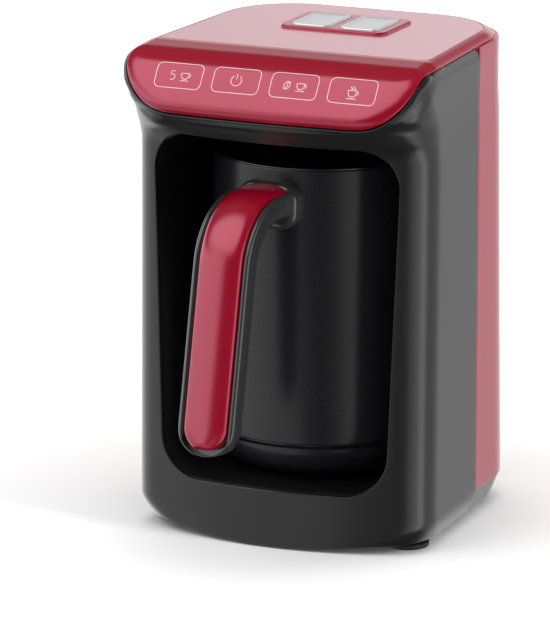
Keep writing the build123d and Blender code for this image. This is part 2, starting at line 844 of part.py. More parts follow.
def block_on(place, size, z):
    """Plain component block standing at place on height z."""
    width, length, height = size
    with BuildPart() as block:
        with BuildSketch(Plane.XY.offset(z)):
            with Locations(place):
                RectangleRounded(width, length, part_r)
        extrude(amount=height)
    return block.part


transformer_place = (transformer_x, power_board_y)
relay_place = (relay_x, power_board_y - relay_ahead)
capacitor_y = power_board_y - capacitor_ahead
keep(block_on(transformer_place, transformer_size, power_top_z), "transformer")
keep(block_on(relay_place, relay_size, power_top_z), "relay")

with BuildPart() as capacitors:
    with BuildSketch(Plane.XY.offset(power_top_z)):
        with Locations((-capacitor_x, capacitor_y), (capacitor_x, capacitor_y)):
            Circle(capacitor_r)
    extrude(amount=capacitor_h)
    chamfer(capacitors.faces().group_by(Axis.Z)[-1].edges(), length=capacitor_chamfer)
keep(capacitors.part, "capacitors")

# Ribbon between the two boards, with a plug at either end.
upper_plug_y = bezel_y - upper_plug_ahead
lower_plug_y = power_board_y + lower_plug_behind
ribbon_z = control_z - connector_size[2] / 2.0
with BuildPart() as board_ribbon:
    with BuildSketch(Plane.XY.offset(control_z)):
        with Locations((0, upper_plug_y)):
            Rectangle(connector_size[0], connector_size[1])
    extrude(amount=-connector_size[2])
    with BuildSketch(Plane.XY.offset(power_top_z)):
        with Locations((0, lower_plug_y)):
            Rectangle(connector_size[0], connector_size[1])
    extrude(amount=connector_size[2])
    with BuildSketch(Plane.YZ.offset(-ribbon_w / 4.0)):
        with BuildLine():
            Polyline(
                (upper_plug_y, ribbon_z),
                (lower_plug_y, ribbon_z),
                (lower_plug_y, power_top_z + connector_size[2] - ribbon_in),
            )
            offset(amount=ribbon_t / 2.0)
        make_face()
    extrude(amount=ribbon_w / 2.0)
keep(board_ribbon.part, "board_ribbon")

# The same small screw holds both boards: from below into the tray, from above into the roof.
with BuildPart() as board_screws:
    for z, grip, posts in ((control_z, 1, control_posts), (power_top_z, -1, power_posts)):
        with BuildSketch(Plane.XY.offset(z)):
            with Locations(posts):
                Circle(small_head_r)
        extrude(amount=-grip * small_head_h)
        with BuildSketch(Plane.XY.offset(z)):
            with Locations(posts):
                Circle(small_screw_r)
        extrude(amount=grip * small_screw_l)
keep(board_screws.part, "board_screws")

# Boil-over sensor: box on the roof with its window let into the bay's ceiling.
with BuildPart() as sensor_lens:
    with BuildSketch(Plane.XY.offset(bay_top_z)):
        with Locations((0, sensor_y)):
            Circle(sensor_r - stem_fit)
    extrude(amount=liner_t)
    fillet(sensor_lens.faces().sort_by(Axis.Z)[0].edges(), radius=lens_round)
keep(sensor_lens.part, "sensor_lens")
with BuildPart() as sensor_housing:
    with BuildSketch(Plane.XY.offset(roof_z)):
        with Locations((0, sensor_y)):
            RectangleRounded(sensor_box, sensor_box, block_r)
    extrude(amount=sensor_h)
keep(sensor_housing.part, "sensor_housing")

# Socket in the rear wall of the bay, and its brass contacts.
pin_x = (-pin_pitch, 0.0, pin_pitch)
contact_r = pin_r + pin_clear + contact_wall
contact_y = socket_y + contact_in
with BuildPart() as socket_housing:
    with BuildSketch(Plane.XZ.offset(-socket_y - socket_l)):
        with Locations((0, plug_z)):
            RectangleRounded(socket_w, socket_h, block_r)
    extrude(amount=socket_l)
    with BuildSketch(Plane.XZ.offset(-contact_y)):
        with Locations([(x, plug_z) for x in pin_x]):
            Circle(pin_r + pin_clear)
    extrude(amount=contact_y - socket_y, mode=Mode.SUBTRACT)
    with BuildSketch(Plane.XZ.offset(-contact_y)):
        with Locations([(x, plug_z) for x in pin_x]):
            Circle(contact_r)
    extrude(amount=-socket_l, mode=Mode.SUBTRACT)
keep(socket_housing.part, "socket_housing")
with BuildPart() as socket_contacts:
    with BuildSketch(Plane.XZ.offset(-contact_y)):
        with Locations([(x, plug_z) for x in pin_x]):
            Circle(contact_r)
            Circle(pin_r + pin_clear, mode=Mode.SUBTRACT)
    extrude(amount=-contact_l)
    with BuildSketch(Plane.XZ.offset(-contact_y - contact_l)):
        with Locations([(x, plug_z) for x in pin_x]):
            Circle(contact_r)
    extrude(amount=-contact_wall)
    with BuildSketch(Plane.XZ.offset(-contact_y - contact_l)):
        with Locations([(x, plug_z) for x in pin_x]):
            Rectangle(tab_t, tab_w)
    extrude(amount=-(socket_y + socket_l + contact_tail - contact_y - contact_l))
keep(socket_contacts.part, "socket_contacts")

# Terminal block on the base plate and the wire loom down the back of the bay.
terminal_place = (loom_x, loom_y)
block_z = base_z + base_t
keep(block_on(terminal_place, terminal_size, block_z), "terminal_block")
loom_z = power_top_z + loom_r + loom_up
loom_start_y = power_board_y + power_board_l / 2.0 - loom_plug_in
with BuildPart() as wire_loom:
    with BuildLine() as loom_path:
        FilletPolyline(
            (loom_x, loom_start_y, loom_z),
            (loom_x, loom_y, loom_z),
            (loom_x, loom_y, block_z + terminal_size[2]),
            radius=loom_bend,
        )
    with BuildSketch(Plane(origin=loom_path.line @ 0, z_dir=loom_path.line % 0)):
        Circle(loom_r)
    sweep()
    with BuildSketch(Plane.XY.offset(power_top_z)):
        with Locations((loom_x, loom_start_y)):
            RectangleRounded(*loom_plug, part_r)
    extrude(amount=2.0 * loom_r + loom_plug_rise)
keep(wire_loom.part, "wire_loom")

# ---------------------------------------------------------------- pot
pot_under_z = bay_floor_z + pot_foot_gap
cup_r = {z: pot_radius(z) - pot_wall - cup_gap for z in (cup_floor_z, pot_top_z)}
screw_levels = [arm_top_z - down for down in handle_screw_down]


def pot_cone(inset, low_z, high_z):
    """Solid cone of the pot's outer wall, moved inward by inset."""
    with BuildPart() as cone:
        with BuildSketch(Plane.XZ):
            with BuildLine():
                Polyline(
                    (0, low_z),
                    (pot_radius(low_z) - inset, low_z),
                    (pot_radius(high_z) - inset, high_z),
                    (0, high_z),
                    close=True,
                )
            make_face()
        revolve(axis=Axis.Z)
    return cone.part


# Plane of the handle: its X runs outward from the pot's axis, its Y is up.
outward = Vector(sin(radians(handle_turn)), -cos(radians(handle_turn)), 0)
handle_plane = Plane(origin=(0, 0, 0), x_dir=outward, z_dir=outward.cross(Vector(0, 0, 1)))
head_seat_r = pot_radius(screw_levels[0]) - pot_wall + head_seat_out


def radial_plane(distance):
    """Plane that faces outward along the handle at the given distance from the pot's axis."""
    return Plane(origin=outward * distance, x_dir=outward.cross(Vector(0, 0, -1)), z_dir=outward)


def handle_screw_set(radius, start, length):
    """Rods of the two handle screws, from start outward."""
    with BuildPart() as rods:
        with BuildSketch(radial_plane(start)):
            with Locations([(0, z) for z in screw_levels]):
                Circle(radius)
        extrude(amount=length)
    return rods.part


# Outer shell.
with BuildPart() as pot_shell:
    add(pot_cone(0.0, pot_seam_z, pot_top_z))
    add(pot_cone(pot_wall, pot_seam_z, pot_top_z), mode=Mode.SUBTRACT)
    fillet(pot_shell.edges().group_by(Axis.Z)[-1], radius=shell_rim_r)
    add(handle_screw_set(screw_r + screw_clear, head_seat_r - pot_wall, over), mode=Mode.SUBTRACT)
    add(handle_screw_set(screw_head_r + screw_clear, head_seat_r - pot_wall, pot_wall), mode=Mode.SUBTRACT)
keep(pot_shell.part, "pot_shell")

# Steel cup hung from its rim, which lies on top of the shell.
with BuildPart() as pot_cup:
    with BuildSketch(Plane.XZ):
        with BuildLine():
            Polyline(
                (0, cup_floor_z),
                (cup_r[cup_floor_z], cup_floor_z),
                (cup_r[pot_top_z], pot_top_z),
                (pot_r_top - cup_rim_in, pot_top_z),
                (pot_r_top - cup_rim_in, pot_top_z + cup_wall),
                (cup_r[pot_top_z] - cup_wall, pot_top_z + cup_wall),
                (cup_r[cup_floor_z] - cup_wall, cup_floor_z + cup_wall),
                (0, cup_floor_z + cup_wall),
                close=True,
            )
        make_face()
        outer_corner = vertices().sort_by_distance((cup_r[cup_floor_z], cup_floor_z, 0))[0]
        fillet(outer_corner, radius=cup_round)
        inner_at = (cup_r[cup_floor_z] - cup_wall, cup_floor_z + cup_wall, 0)
        fillet(vertices().sort_by_distance(inner_at)[0], radius=cup_round - cup_wall)
    revolve(axis=Axis.Z)
keep(pot_cup.part, "pot_cup")

# Base cap with its bowl-shaped underside and the shelf that carries the seal.
seal_outer_r = cup_r[cup_floor_z] - cup_round - seal_gap
seal_inner_r = seal_outer_r - seal_w
with BuildPart() as pot_base:
    with BuildSketch(Plane.XZ):
        with BuildLine():
            Polyline(
                (0, pot_under_z),
                (pot_r_seam, pot_under_z),
                (pot_r_seam, pot_seam_z),
                (0, pot_seam_z),
                close=True,
            )
        make_face()
        lower_corner = vertices().sort_by_distance((pot_r_seam, pot_under_z, 0))[0]
        fillet(lower_corner, radius=pot_base_round)
    revolve(axis=Axis.Z)
    with BuildSketch(Plane.XZ):
        with BuildLine():
            Polyline(
                (0, pot_under_z + pot_wall),
                (pot_r_seam - pot_wall, pot_under_z + pot_wall),
                (pot_r_seam - pot_wall, pot_seam_z - shelf_t),
                (seal_inner_r, pot_seam_z - shelf_t),
                (seal_inner_r, pot_seam_z),
                (0, pot_seam_z),
                close=True,
            )
        make_face()
        inner_corner = vertices().sort_by_distance((pot_r_seam - pot_wall, pot_under_z + pot_wall, 0))[0]
        fillet(inner_corner, radius=pot_base_round - shelf_t - pot_wall)
    revolve(axis=Axis.Z, mode=Mode.SUBTRACT)
    with BuildSketch(Plane.XZ.offset(-plug_y)):
        with Locations((0, plug_z)):
            RectangleRounded(plug_w, plug_h, block_r)
    extrude(amount=plug_in + plug_out, mode=Mode.SUBTRACT)
keep(pot_base.part, "pot_base")

with BuildPart() as pot_seal:
    with BuildSketch(Plane.XY.offset(pot_seam_z)):
        Circle(seal_outer_r)
        Circle(seal_inner_r, mode=Mode.SUBTRACT)
    extrude(amount=cup_floor_z - pot_seam_z)
keep(pot_seal.part, "pot_seal")

# Heating plate under the cup, with element and thermostat.
hot_under_z = cup_floor_z - hot_plate_t
with BuildPart() as heating_plate:
    with BuildSketch(Plane.XY.offset(hot_under_z)):
        Circle(hot_plate_r)
    extrude(amount=hot_plate_t)
keep(heating_plate.part, "heating_plate")

element_z = hot_under_z - element_tube_r
full_turn = 360.0
quarter = full_turn / 4.0
half_open = (full_turn - element_arc) / 2.0
with BuildPart() as heating_element:
    with BuildLine() as ring_path:
        CenterArc((0, 0, element_z), element_ring_r, quarter + half_open, element_arc)
    with BuildSketch(Plane(origin=ring_path.line @ 0, z_dir=ring_path.line % 0)):
        Circle(element_tube_r)
    sweep()
keep(heating_element.part, "heating_element")

with BuildPart() as thermostat:
    with BuildSketch(Plane.XY.offset(hot_under_z)):
        Circle(thermostat_r)
    extrude(amount=-thermostat_h)
    with BuildSketch(Plane.XY.offset(hot_under_z - thermostat_h)):
        with Locations((-blade_x, 0), (blade_x, 0)):
            Rectangle(tab_t, blade_w)
    extrude(amount=-blade_l)
keep(thermostat.part, "thermostat")

# Plug block at the back of the base cap, with its pins.
plug_front_y = plug_y - plug_in - plug_out
with BuildPart() as pot_connector:
    with BuildSketch(Plane.XZ.offset(-plug_y)):
        with Locations((0, plug_z)):
            RectangleRounded(plug_w, plug_h, block_r)
    extrude(amount=plug_in + plug_out)
    with BuildSketch(Plane.XZ.offset(-plug_y)):
        with Locations([(x, plug_z) for x in pin_x]):
            Circle(pin_r)
    extrude(amount=plug_in + plug_out, mode=Mode.SUBTRACT)
keep(pot_connector.part, "pot_connector")
with BuildPart() as connector_pins:
    with BuildSketch(Plane.XZ.offset(-plug_front_y + pin_tail)):
        with Locations([(x, plug_z) for x in pin_x]):
            Circle(pin_r)
    extrude(amount=-(plug_in + plug_out + pin_tail + pin_l))
    chamfer(connector_pins.faces().group_by(Axis.Y)[-1].edges(), length=pin_chamfer)
keep(connector_pins.part, "connector_pins")

# ---------------------------------------------------------------- handle
grip_top = Vector(grip_top_r, grip_top_z)
grip_low = Vector(grip_low_r, grip_low_z)
grip_dir = (grip_low - grip_top).normalized()
grip_in = Vector(grip_dir.Y, -grip_dir.X)


def band_point(depth, z=None):
    """Point on the grip line at depth below the outer face: at height z, or at the lower end."""
    if z is None:
        return grip_low + grip_in * depth
    start = grip_top + grip_in * depth
    return start + grip_dir * ((z - start.Y) / grip_dir.Y)


def offset_point(point, along):
    """Point moved up the grip by along."""
    return point - grip_dir * along


root_r = pot_r_top - pot_wall - cup_gap


def round_end_prism(width, short, corner):
    """Prism through the handle's thickness that rounds off its lower end in the front view."""
    low = handle_plane.from_local_coords(offset_point(grip_low, short))
    inward = (handle_plane.from_local_coords(grip_in) - handle_plane.origin).normalized()
    across = Plane(origin=low, x_dir=handle_plane.z_dir, z_dir=inward)
    up = 1.0 if across.y_dir.Z > 0.0 else -1.0
    with BuildPart() as prism:
        with BuildSketch(across):
            with Locations((0, up * 3.0 * bend_r)):
                RectangleRounded(width, 6.0 * bend_r, corner)
        extrude(amount=4.0 * handle_t, both=True)
    return prism.part


def handle_bar(outer, inner, width, outer_round, inner_round, short=0.0, corner=handle_end_r):
    """Bar swept along the handle between two depths below the crown of the grip."""
    bend = band_point(0.0, arm_top_z)
    stations = [Vector(root_r, arm_top_z), bend, grip_low]
    with BuildPart() as bar:
        with BuildLine() as path:
            FilletPolyline(*[handle_plane.from_local_coords(at) for at in stations], radius=bend_r)
        with BuildSketch(radial_plane(root_r)):
            with Locations((0, arm_top_z - (outer + inner) / 2.0)):
                Rectangle(width, inner - outer)
            fillet(vertices().group_by(Axis.Z)[-1], radius=outer_round)
            fillet(vertices().group_by(Axis.Z)[0], radius=inner_round)
        sweep(path=path.line)
        add(round_end_prism(width, short, corner), mode=Mode.INTERSECT)
    return bar.part


insert_end_r = handle_end_r - handle_end_rim
with BuildPart() as boss_block:
    with BuildSketch(radial_plane(root_r)):
        with Locations((0, arm_top_z + boss_rise - boss_h / 2.0)):
            Rectangle(boss_w, boss_h)
        fillet(vertices().group_by(Axis.Z)[-1], radius=boss_top_r)
        fillet(vertices().group_by(Axis.Z)[0], radius=boss_corner_r)
    extrude(amount=pot_r_top + boss_t - root_r)
    outer_face = boss_block.faces().sort_by(lambda face: outward.dot(face.center()))[-1]
    fillet(outer_face.edges(), radius=boss_round)
pot_body = pot_cone(0.0, pot_seam_z, pot_top_z + over)

# Frame: dark bar with a channel for the insert, and the boss that sits on the shell.
with BuildPart() as handle_frame:
    add(handle_bar(frame_step, handle_t, handle_w, frame_outer_r, frame_inner_r))
    channel_w = insert_w + 2.0 * stem_fit
    channel_short = handle_end_rim - stem_fit
    add(
        handle_bar(-frame_step, insert_depth, channel_w, seat_r, seat_r, channel_short, insert_end_r),
        mode=Mode.SUBTRACT,
    )
    add(boss_block.part)
    add(pot_body, mode=Mode.SUBTRACT)
    add(handle_screw_set(screw_r + thread_fit, head_seat_r, handle_screw_l), mode=Mode.SUBTRACT)
keep(handle_frame.part, "handle_frame")

# Insert: pearly crown let into the channel.
with BuildPart() as handle_insert:
    add(handle_bar(0.0, insert_depth, insert_w, crown_r, seat_r, handle_end_rim, insert_end_r))
    add(boss_block.part, mode=Mode.SUBTRACT)
    add(pot_cone(-boss_t, pot_seam_z, pot_top_z + over), mode=Mode.SUBTRACT)
keep(handle_insert.part, "handle_insert")

# Two screws from inside the shell into the boss.
with BuildPart() as handle_screws:
    add(handle_screw_set(screw_r, head_seat_r, handle_screw_l))
    add(handle_screw_set(screw_head_r, head_seat_r - screw_head_h, screw_head_h))
keep(handle_screws.part, "handle_screws")

# ---------------------------------------------------------------- common frame
boxes = [piece.bounding_box() for piece in pieces]
shift_y = -(min(box.min.Y for box in boxes) + max(box.max.Y for box in boxes)) / 2.0
shift = Location((0, shift_y, 0))

if __name__ == "__main__":
    for piece in pieces:
        placed = piece.moved(shift)
        placed.label = piece.label
        export_step(placed, os.path.join("parts", piece.label + ".step"))
        print(piece.label, piece.is_valid, len(piece.solids()), round(piece.volume))
    print("moved in Y by", round(shift_y, 4))
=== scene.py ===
import math

import bmesh
import bpy
import numpy as np
from mathutils import Matrix, Vector


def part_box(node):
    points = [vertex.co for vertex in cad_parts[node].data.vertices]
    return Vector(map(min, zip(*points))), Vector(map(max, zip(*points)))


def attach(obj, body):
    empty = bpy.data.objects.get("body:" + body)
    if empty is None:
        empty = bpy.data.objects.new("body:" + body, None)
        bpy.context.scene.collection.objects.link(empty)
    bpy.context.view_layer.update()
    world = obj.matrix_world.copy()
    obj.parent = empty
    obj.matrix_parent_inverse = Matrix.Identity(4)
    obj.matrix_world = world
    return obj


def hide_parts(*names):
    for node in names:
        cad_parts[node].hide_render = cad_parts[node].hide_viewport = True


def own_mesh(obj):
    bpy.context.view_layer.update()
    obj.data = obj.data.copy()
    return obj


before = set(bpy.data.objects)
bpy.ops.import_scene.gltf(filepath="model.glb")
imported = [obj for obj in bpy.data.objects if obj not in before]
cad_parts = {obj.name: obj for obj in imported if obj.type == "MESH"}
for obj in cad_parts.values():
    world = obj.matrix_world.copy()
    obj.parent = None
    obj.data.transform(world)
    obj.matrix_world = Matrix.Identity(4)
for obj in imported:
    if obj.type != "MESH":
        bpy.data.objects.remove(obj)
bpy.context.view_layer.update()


# ---- Camera
# A long lens on a low stand, turned to the machine's right-hand front corner.
# It looks down a little, so that the top plate and the buttons show.
def added(name, data):
    """New object of the scene that holds the data."""
    made = bpy.data.objects.new(name, data)
    bpy.context.collection.objects.link(made)
    return made


azimuth = math.radians(23.5)
elevation = math.radians(13.8)
focal_px = 5400.0
picture_h_px = 627.0
stand_z = 0.130
camera_distance = 2.847
aim_left = 0.02583
aim_down = 0.02135
sensor_mm = 36.0

back = Vector((math.sin(azimuth) * math.cos(elevation),
               -math.cos(azimuth) * math.cos(elevation),
               math.sin(elevation)))
right = Vector((math.cos(azimuth), math.sin(azimuth), 0.0))
up = back.cross(right)
pot_low, pot_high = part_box("pot_cup")
pot_y = (pot_low.y + pot_high.y) / 2.0
stand = Vector((0.0, pot_y, stand_z))
lens = bpy.data.cameras.new("studio_camera")
lens.lens = sensor_mm * focal_px / picture_h_px
lens.sensor_width = sensor_mm
lens.clip_start = 0.1
lens.clip_end = 20.0
camera = added("studio_camera", lens)
camera.location = stand + back * camera_distance
aim = stand - right * aim_left - up * aim_down
camera.rotation_mode = "QUATERNION"
camera.rotation_quaternion = (aim - camera.location).to_track_quat("-Z", "Y")
bpy.context.scene.camera = camera


# ---- Base plate, feet and base screws
# The base is moulded in the same dark ABS as the housing; its ring shows under the rear cover.
# Four rubber feet snap into it, and four steel screws pass through it into the housings.
def srgb(code):
    """Linear colour of an sRGB hex code."""
    parts = [int(code[i:i + 2], 16) / 255.0 for i in (1, 3, 5)]
    return [c / 12.92 if c <= 0.04045 else ((c + 0.055) / 1.055) ** 2.4 for c in parts] + [1.0]


def cleared(owner):
    """Empty node tree of a material or a world."""
    owner.use_nodes = True
    owner.node_tree.nodes.clear()
    return owner.node_tree


def put(tree, kind, inputs=None, **settings):
    """Add a node with its settings, values and links."""
    made = tree.nodes.new(kind)
    for key, value in settings.items():
        setattr(made, key, value)
    for key, value in (inputs or {}).items():
        if isinstance(value, bpy.types.NodeSocket):
            tree.links.new(value, made.inputs[key])
        else:
            made.inputs[key].default_value = value
    return made


def grained(name, dark, light, rough, spread, grain_mm, bump_mm, shader=()):
    """Material of a moulded or drawn surface: fine grain in colour, roughness and height."""
    material = bpy.data.materials.new(name)
    tree = cleared(material)
    place = put(tree, "ShaderNodeTexCoord").outputs["Object"]
    cloud = put(tree, "ShaderNodeTexNoise", {"Vector": place, "Scale": 14.0, "Detail": 3.0})
    grain = put(tree, "ShaderNodeTexNoise", {"Vector": place, "Scale": 1000.0 / grain_mm, "Detail": 2.0})
    # The colour pair of a Mix node is its inputs 6 and 7.
    tone = put(tree, "ShaderNodeMix", {0: cloud.outputs["Fac"], 6: srgb(dark), 7: srgb(light)},
               data_type="RGBA")
    gloss = put(tree, "ShaderNodeMapRange",
                {"Value": grain.outputs["Fac"], "To Min": rough - spread, "To Max": rough + spread})
    relief = put(tree, "ShaderNodeBump",
                 {"Height": grain.outputs["Fac"], "Distance": bump_mm / 1000.0, "Strength": 0.6})
    surface = put(tree, "ShaderNodeBsdfPrincipled",
                  {"Base Color": tone.outputs[2], "Roughness": gloss.outputs["Result"],
                   "Normal": relief.outputs["Normal"], **dict(shader)})
    put(tree, "ShaderNodeOutputMaterial", {"Surface": surface.outputs["BSDF"]})
    return material


def dress(name, material):
    """Give a CAD node its finish."""
    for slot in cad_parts[name].material_slots:
        slot.material = material


MM = 0.001
same_point = 1e-6


def rows_to_mesh(name, rows, material, caps=False):
    """Closed mesh of quads between rings of points in mm, moved to the machine's place, faces outward."""
    rows = np.asarray(rows, float)
    m, n = rows.shape[:2]
    verts = rows.reshape(-1, 3) * MM + np.array([0.0, pot_y, 0.0])
    faces = [(i * n + j, i * n + (j + 1) % n, (i + 1) * n + (j + 1) % n, (i + 1) * n + j)
             for i in range(m - 1) for j in range(n)]
    if caps:
        faces += [tuple(range(n)), tuple(range((m - 1) * n, m * n))]
    mesh = bpy.data.meshes.new(name)
    mesh.from_pydata(verts.tolist(), [], faces)
    mesh.polygons.foreach_set("use_smooth", [True] * len(mesh.polygons))
    mesh.materials.append(material)
    work = bmesh.new()
    work.from_mesh(mesh)
    bmesh.ops.remove_doubles(work, verts=work.verts, dist=same_point)
    bmesh.ops.recalc_face_normals(work, faces=work.faces)
    work.to_mesh(mesh)
    work.free()
    return added(name, mesh)


def revolved(name, profile, material, about=(0.0, 0.0), steps=160):
    """Closed turned shape from a closed profile of (radius, height) points in mm."""
    turn = np.linspace(0.0, 2 * math.pi, steps, endpoint=False)
    rows = [[(about[0] + r * math.cos(a), about[1] + r * math.sin(a), z) for a in turn] for r, z in profile]
    return rows_to_mesh(name, rows + [rows[0]], material)


def settled(piece):
    """Make what the piece's modifiers give its own plain mesh."""
    seen = piece.evaluated_get(bpy.context.evaluated_depsgraph_get())
    piece.data = bpy.data.meshes.new_from_object(seen)
    piece.modifiers.clear()


def growth(name, inputs):
    """Geometry Nodes tree with named inputs, and the sockets that give them inside it."""
    tree = bpy.data.node_groups.new(name, "GeometryNodeTree")
    for label, kind in inputs.items():
        tree.interface.new_socket(label, in_out="INPUT", socket_type="NodeSocket" + kind)
    tree.interface.new_socket("Result", in_out="OUTPUT", socket_type="NodeSocketGeometry")
    return tree, put(tree, "NodeGroupInput").outputs


def ended(tree, shape, finish):
    """The tree, ended with its shape made real and painted."""
    real = put(tree, "GeometryNodeRealizeInstances", {"Geometry": shape})
    painted = put(tree, "GeometryNodeSetMaterial", {"Geometry": real.outputs[0], "Material": finish})
    put(tree, "NodeGroupOutput", {"Result": painted.outputs[0]})
    return tree


def grown(piece, tree, values):
    """The piece as the tree makes it, with the tree's inputs set by name."""
    nodes = piece.modifiers.new("nodes", "NODES")
    nodes.node_group = tree
    for item in tree.interface.items_tree:
        if item.in_out == "INPUT" and item.name in values:
            nodes[item.identifier] = values[item.name]
    bpy.context.view_layer.update()
    settled(piece)
    return piece


def set_down():
    """Geometry Nodes tree: a model set down at each of the given places."""
    tree, given = growth("set_down", {"Places": "Geometry", "Model": "Object", "Finish": "Material"})
    points = put(tree, "GeometryNodeMeshToPoints", {"Mesh": given["Places"]})
    single = put(tree, "GeometryNodeObjectInfo", {"Object": given["Model"]})
    many = put(tree, "GeometryNodeInstanceOnPoints",
               {"Points": points.outputs[0], "Instance": single.outputs["Geometry"]})
    return ended(tree, many.outputs[0], given["Finish"])


def four_centres(node):
    """Middles, in metres, of the four like solids of a CAD node, one in each corner of the machine."""
    low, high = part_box(node)
    middle = (low + high) / 2.0
    points = [v.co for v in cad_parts[node].data.vertices]
    found = []
    for sx in (-1, 1):
        for sy in (-1, 1):
            own = [p for p in points if (p.x - middle.x) * sx > 0 and (p.y - middle.y) * sy > 0]
            found.append(((min(p.x for p in own) + max(p.x for p in own)) / 2.0,
                          (min(p.y for p in own) + max(p.y for p in own)) / 2.0, low.z))
    return found


# Moulded ABS: near black with a soft gloss, so it shows broad, slightly blurred reflections.
dark_abs = grained("moulded_dark_abs", "#1b1b1c", "#202021", 0.21, 0.03, 0.35, 0.002, {"IOR": 1.5})
dress("base_plate", dark_abs)
# Moulded rubber: matt black with a faint bloom, so it swallows light and shows only its edges.
rubber = grained("moulded_rubber", "#161616", "#1d1d1d", 0.72, 0.06, 0.5, 0.02)
# One foot from its underside up: two tread grooves, a rounded rim, the flange and the stud.
foot_profile = [(0.2, 0.5), (2.4, 0.5), (2.8, 0.0), (5.2, 0.0), (5.5, 0.6), (6.5, 0.6), (6.8, 0.0),
                (10.2, 0.0), (10.6, 0.1), (10.9, 0.4), (11.0, 0.8), (11.0, 2.4), (10.9, 2.7), (10.6, 2.8),
                (3.0, 2.8), (3.0, 8.2), (2.6, 8.6), (0.2, 8.6)]
foot = revolved("foot_model", foot_profile, rubber, about=(0.0, -pot_y / MM), steps=72)
foot_places = bpy.data.meshes.new("foot_places")
foot_places.from_pydata(four_centres("feet"), [], [])
feet = grown(added("rubber_feet", foot_places), set_down(), {"Model": foot, "Finish": rubber})
bpy.data.objects.remove(foot)
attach(feet, "machine")
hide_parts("feet")
# Zinc-plated steel: cool grey metal with a slightly uneven sheen.
screw_steel = grained("zinc_plated_steel", "#8f9194", "#a0a2a4", 0.34, 0.06, 0.3, 0.004, {"Metallic": 1.0})
dress("base_screws", screw_steel)


# ---- Front housing
# One dark ABS moulding: bowed front, both sides up to the seam, and the rim round the fascia.
# Its mouth is the opening of the pot bay; the walls are 2.5 mm thick.
half_w = 83.9
bow_half = 70.0
lean = math.tan(math.radians(2.3))
front_slope = math.tan(math.radians(0.8))
rear_slope = math.tan(math.radians(2.2))
front_mm = -76.5
rear_mm = 91.5
seam_mm = 15.0
top_mm = 258.4
skirt_mm = 254.8
wall_mm = 2.5
brow_r = 6.0
lip_mm = 9.5
# The walls taper in below taper_mm, by hem_in at the height of the lower edge.
hem_mm = 4.6
hem_in = 4.6
taper_mm = 17.0
facet = hem_in * taper_mm / (taper_mm - hem_mm)
# Height, front line, bow, front corner radius, widening at the front, at the rear, rear corner radius.
stations = np.array([
    (0.0, front_mm, 12.0, 40.0, -facet, -facet, 50.0),
    (taper_mm, front_mm + 17.0 * front_slope, 12.0, 20.0, 0.0, 0.0, 46.0),
    (110.0, front_mm + 110.0 * front_slope, 12.0, 20.0, 0.0, 0.0, 46.0),
    (200.0, front_mm + 200.0 * front_slope, 12.0, 20.0, 0.0, 0.0, 46.0),
    (206.0, front_mm + 201.0 * front_slope, 12.0, 20.0, 0.0, 0.0, 46.0),
    (214.0, -75.3, 10.8, 22.0, 0.3, 0.0, 46.0),
    (220.0, -79.0, 7.5, 29.0, 0.9, 0.0, 46.0),
    (224.0, -81.7, 5.3, 33.0, 1.4, 0.0, 46.0),
    (227.0, -83.3, 3.5, 35.0, 1.8, 0.0, 46.0),
    (233.0, -86.2, 1.5, 33.0, 2.4, 0.0, 46.0),
    (242.0, -82.2, 1.0, 22.0, 2.6, 0.0, 46.0),
    (250.4, -77.5, 1.0, 17.0, 2.4, 0.0, 46.0),
    (262.0, -76.0, 1.0, 17.0, 2.2, 0.0, 46.0),
])
# Planes of the label slope and of the roof, each by a point and its outward normal.
label_at = np.array([0.0, -85.6, 232.6])
label_out = np.array([0.0, -0.8385, 0.545])
roof_at = np.array([0.0, -70.0, 256.6])
roof_out = np.array([0.0, -0.0748, 0.9972])


def eased(xs, ys, x):
    """Monotone cubic through the points xs, ys."""
    h = np.diff(xs)
    d = np.diff(ys) / h
    m = np.zeros(len(xs))
    same = d[:-1] * d[1:] > 0
    w1, w2 = 2 * h[1:] + h[:-1], h[1:] + 2 * h[:-1]
    safe = np.where(same, d[:-1], 1.0), np.where(same, d[1:], 1.0)
    m[1:-1] = np.where(same, (w1 + w2) / (w1 / safe[0] + w2 / safe[1]), 0.0)
    m[0], m[-1] = d[0], d[-1]
    x = np.clip(x, xs[0], xs[-1])
    i = np.clip(np.searchsorted(xs, x) - 1, 0, len(xs) - 2)
    t = (x - xs[i]) / h[i]
    return ((2 * t**3 - 3 * t**2 + 1) * ys[i] + (t**3 - 2 * t**2 + t) * h[i] * m[i]
            + (3 * t**2 - 2 * t**3) * ys[i + 1] + (t**3 - t**2) * h[i] * m[i + 1])


def rounded(a, b, r):
    """Inside of both a and b, with their shared edge rounded by r."""
    past = np.hypot(np.maximum(a + r, 0.0), np.maximum(b + r, 0.0))
    return np.minimum(np.maximum(a + r, b + r), 0.0) + past - r


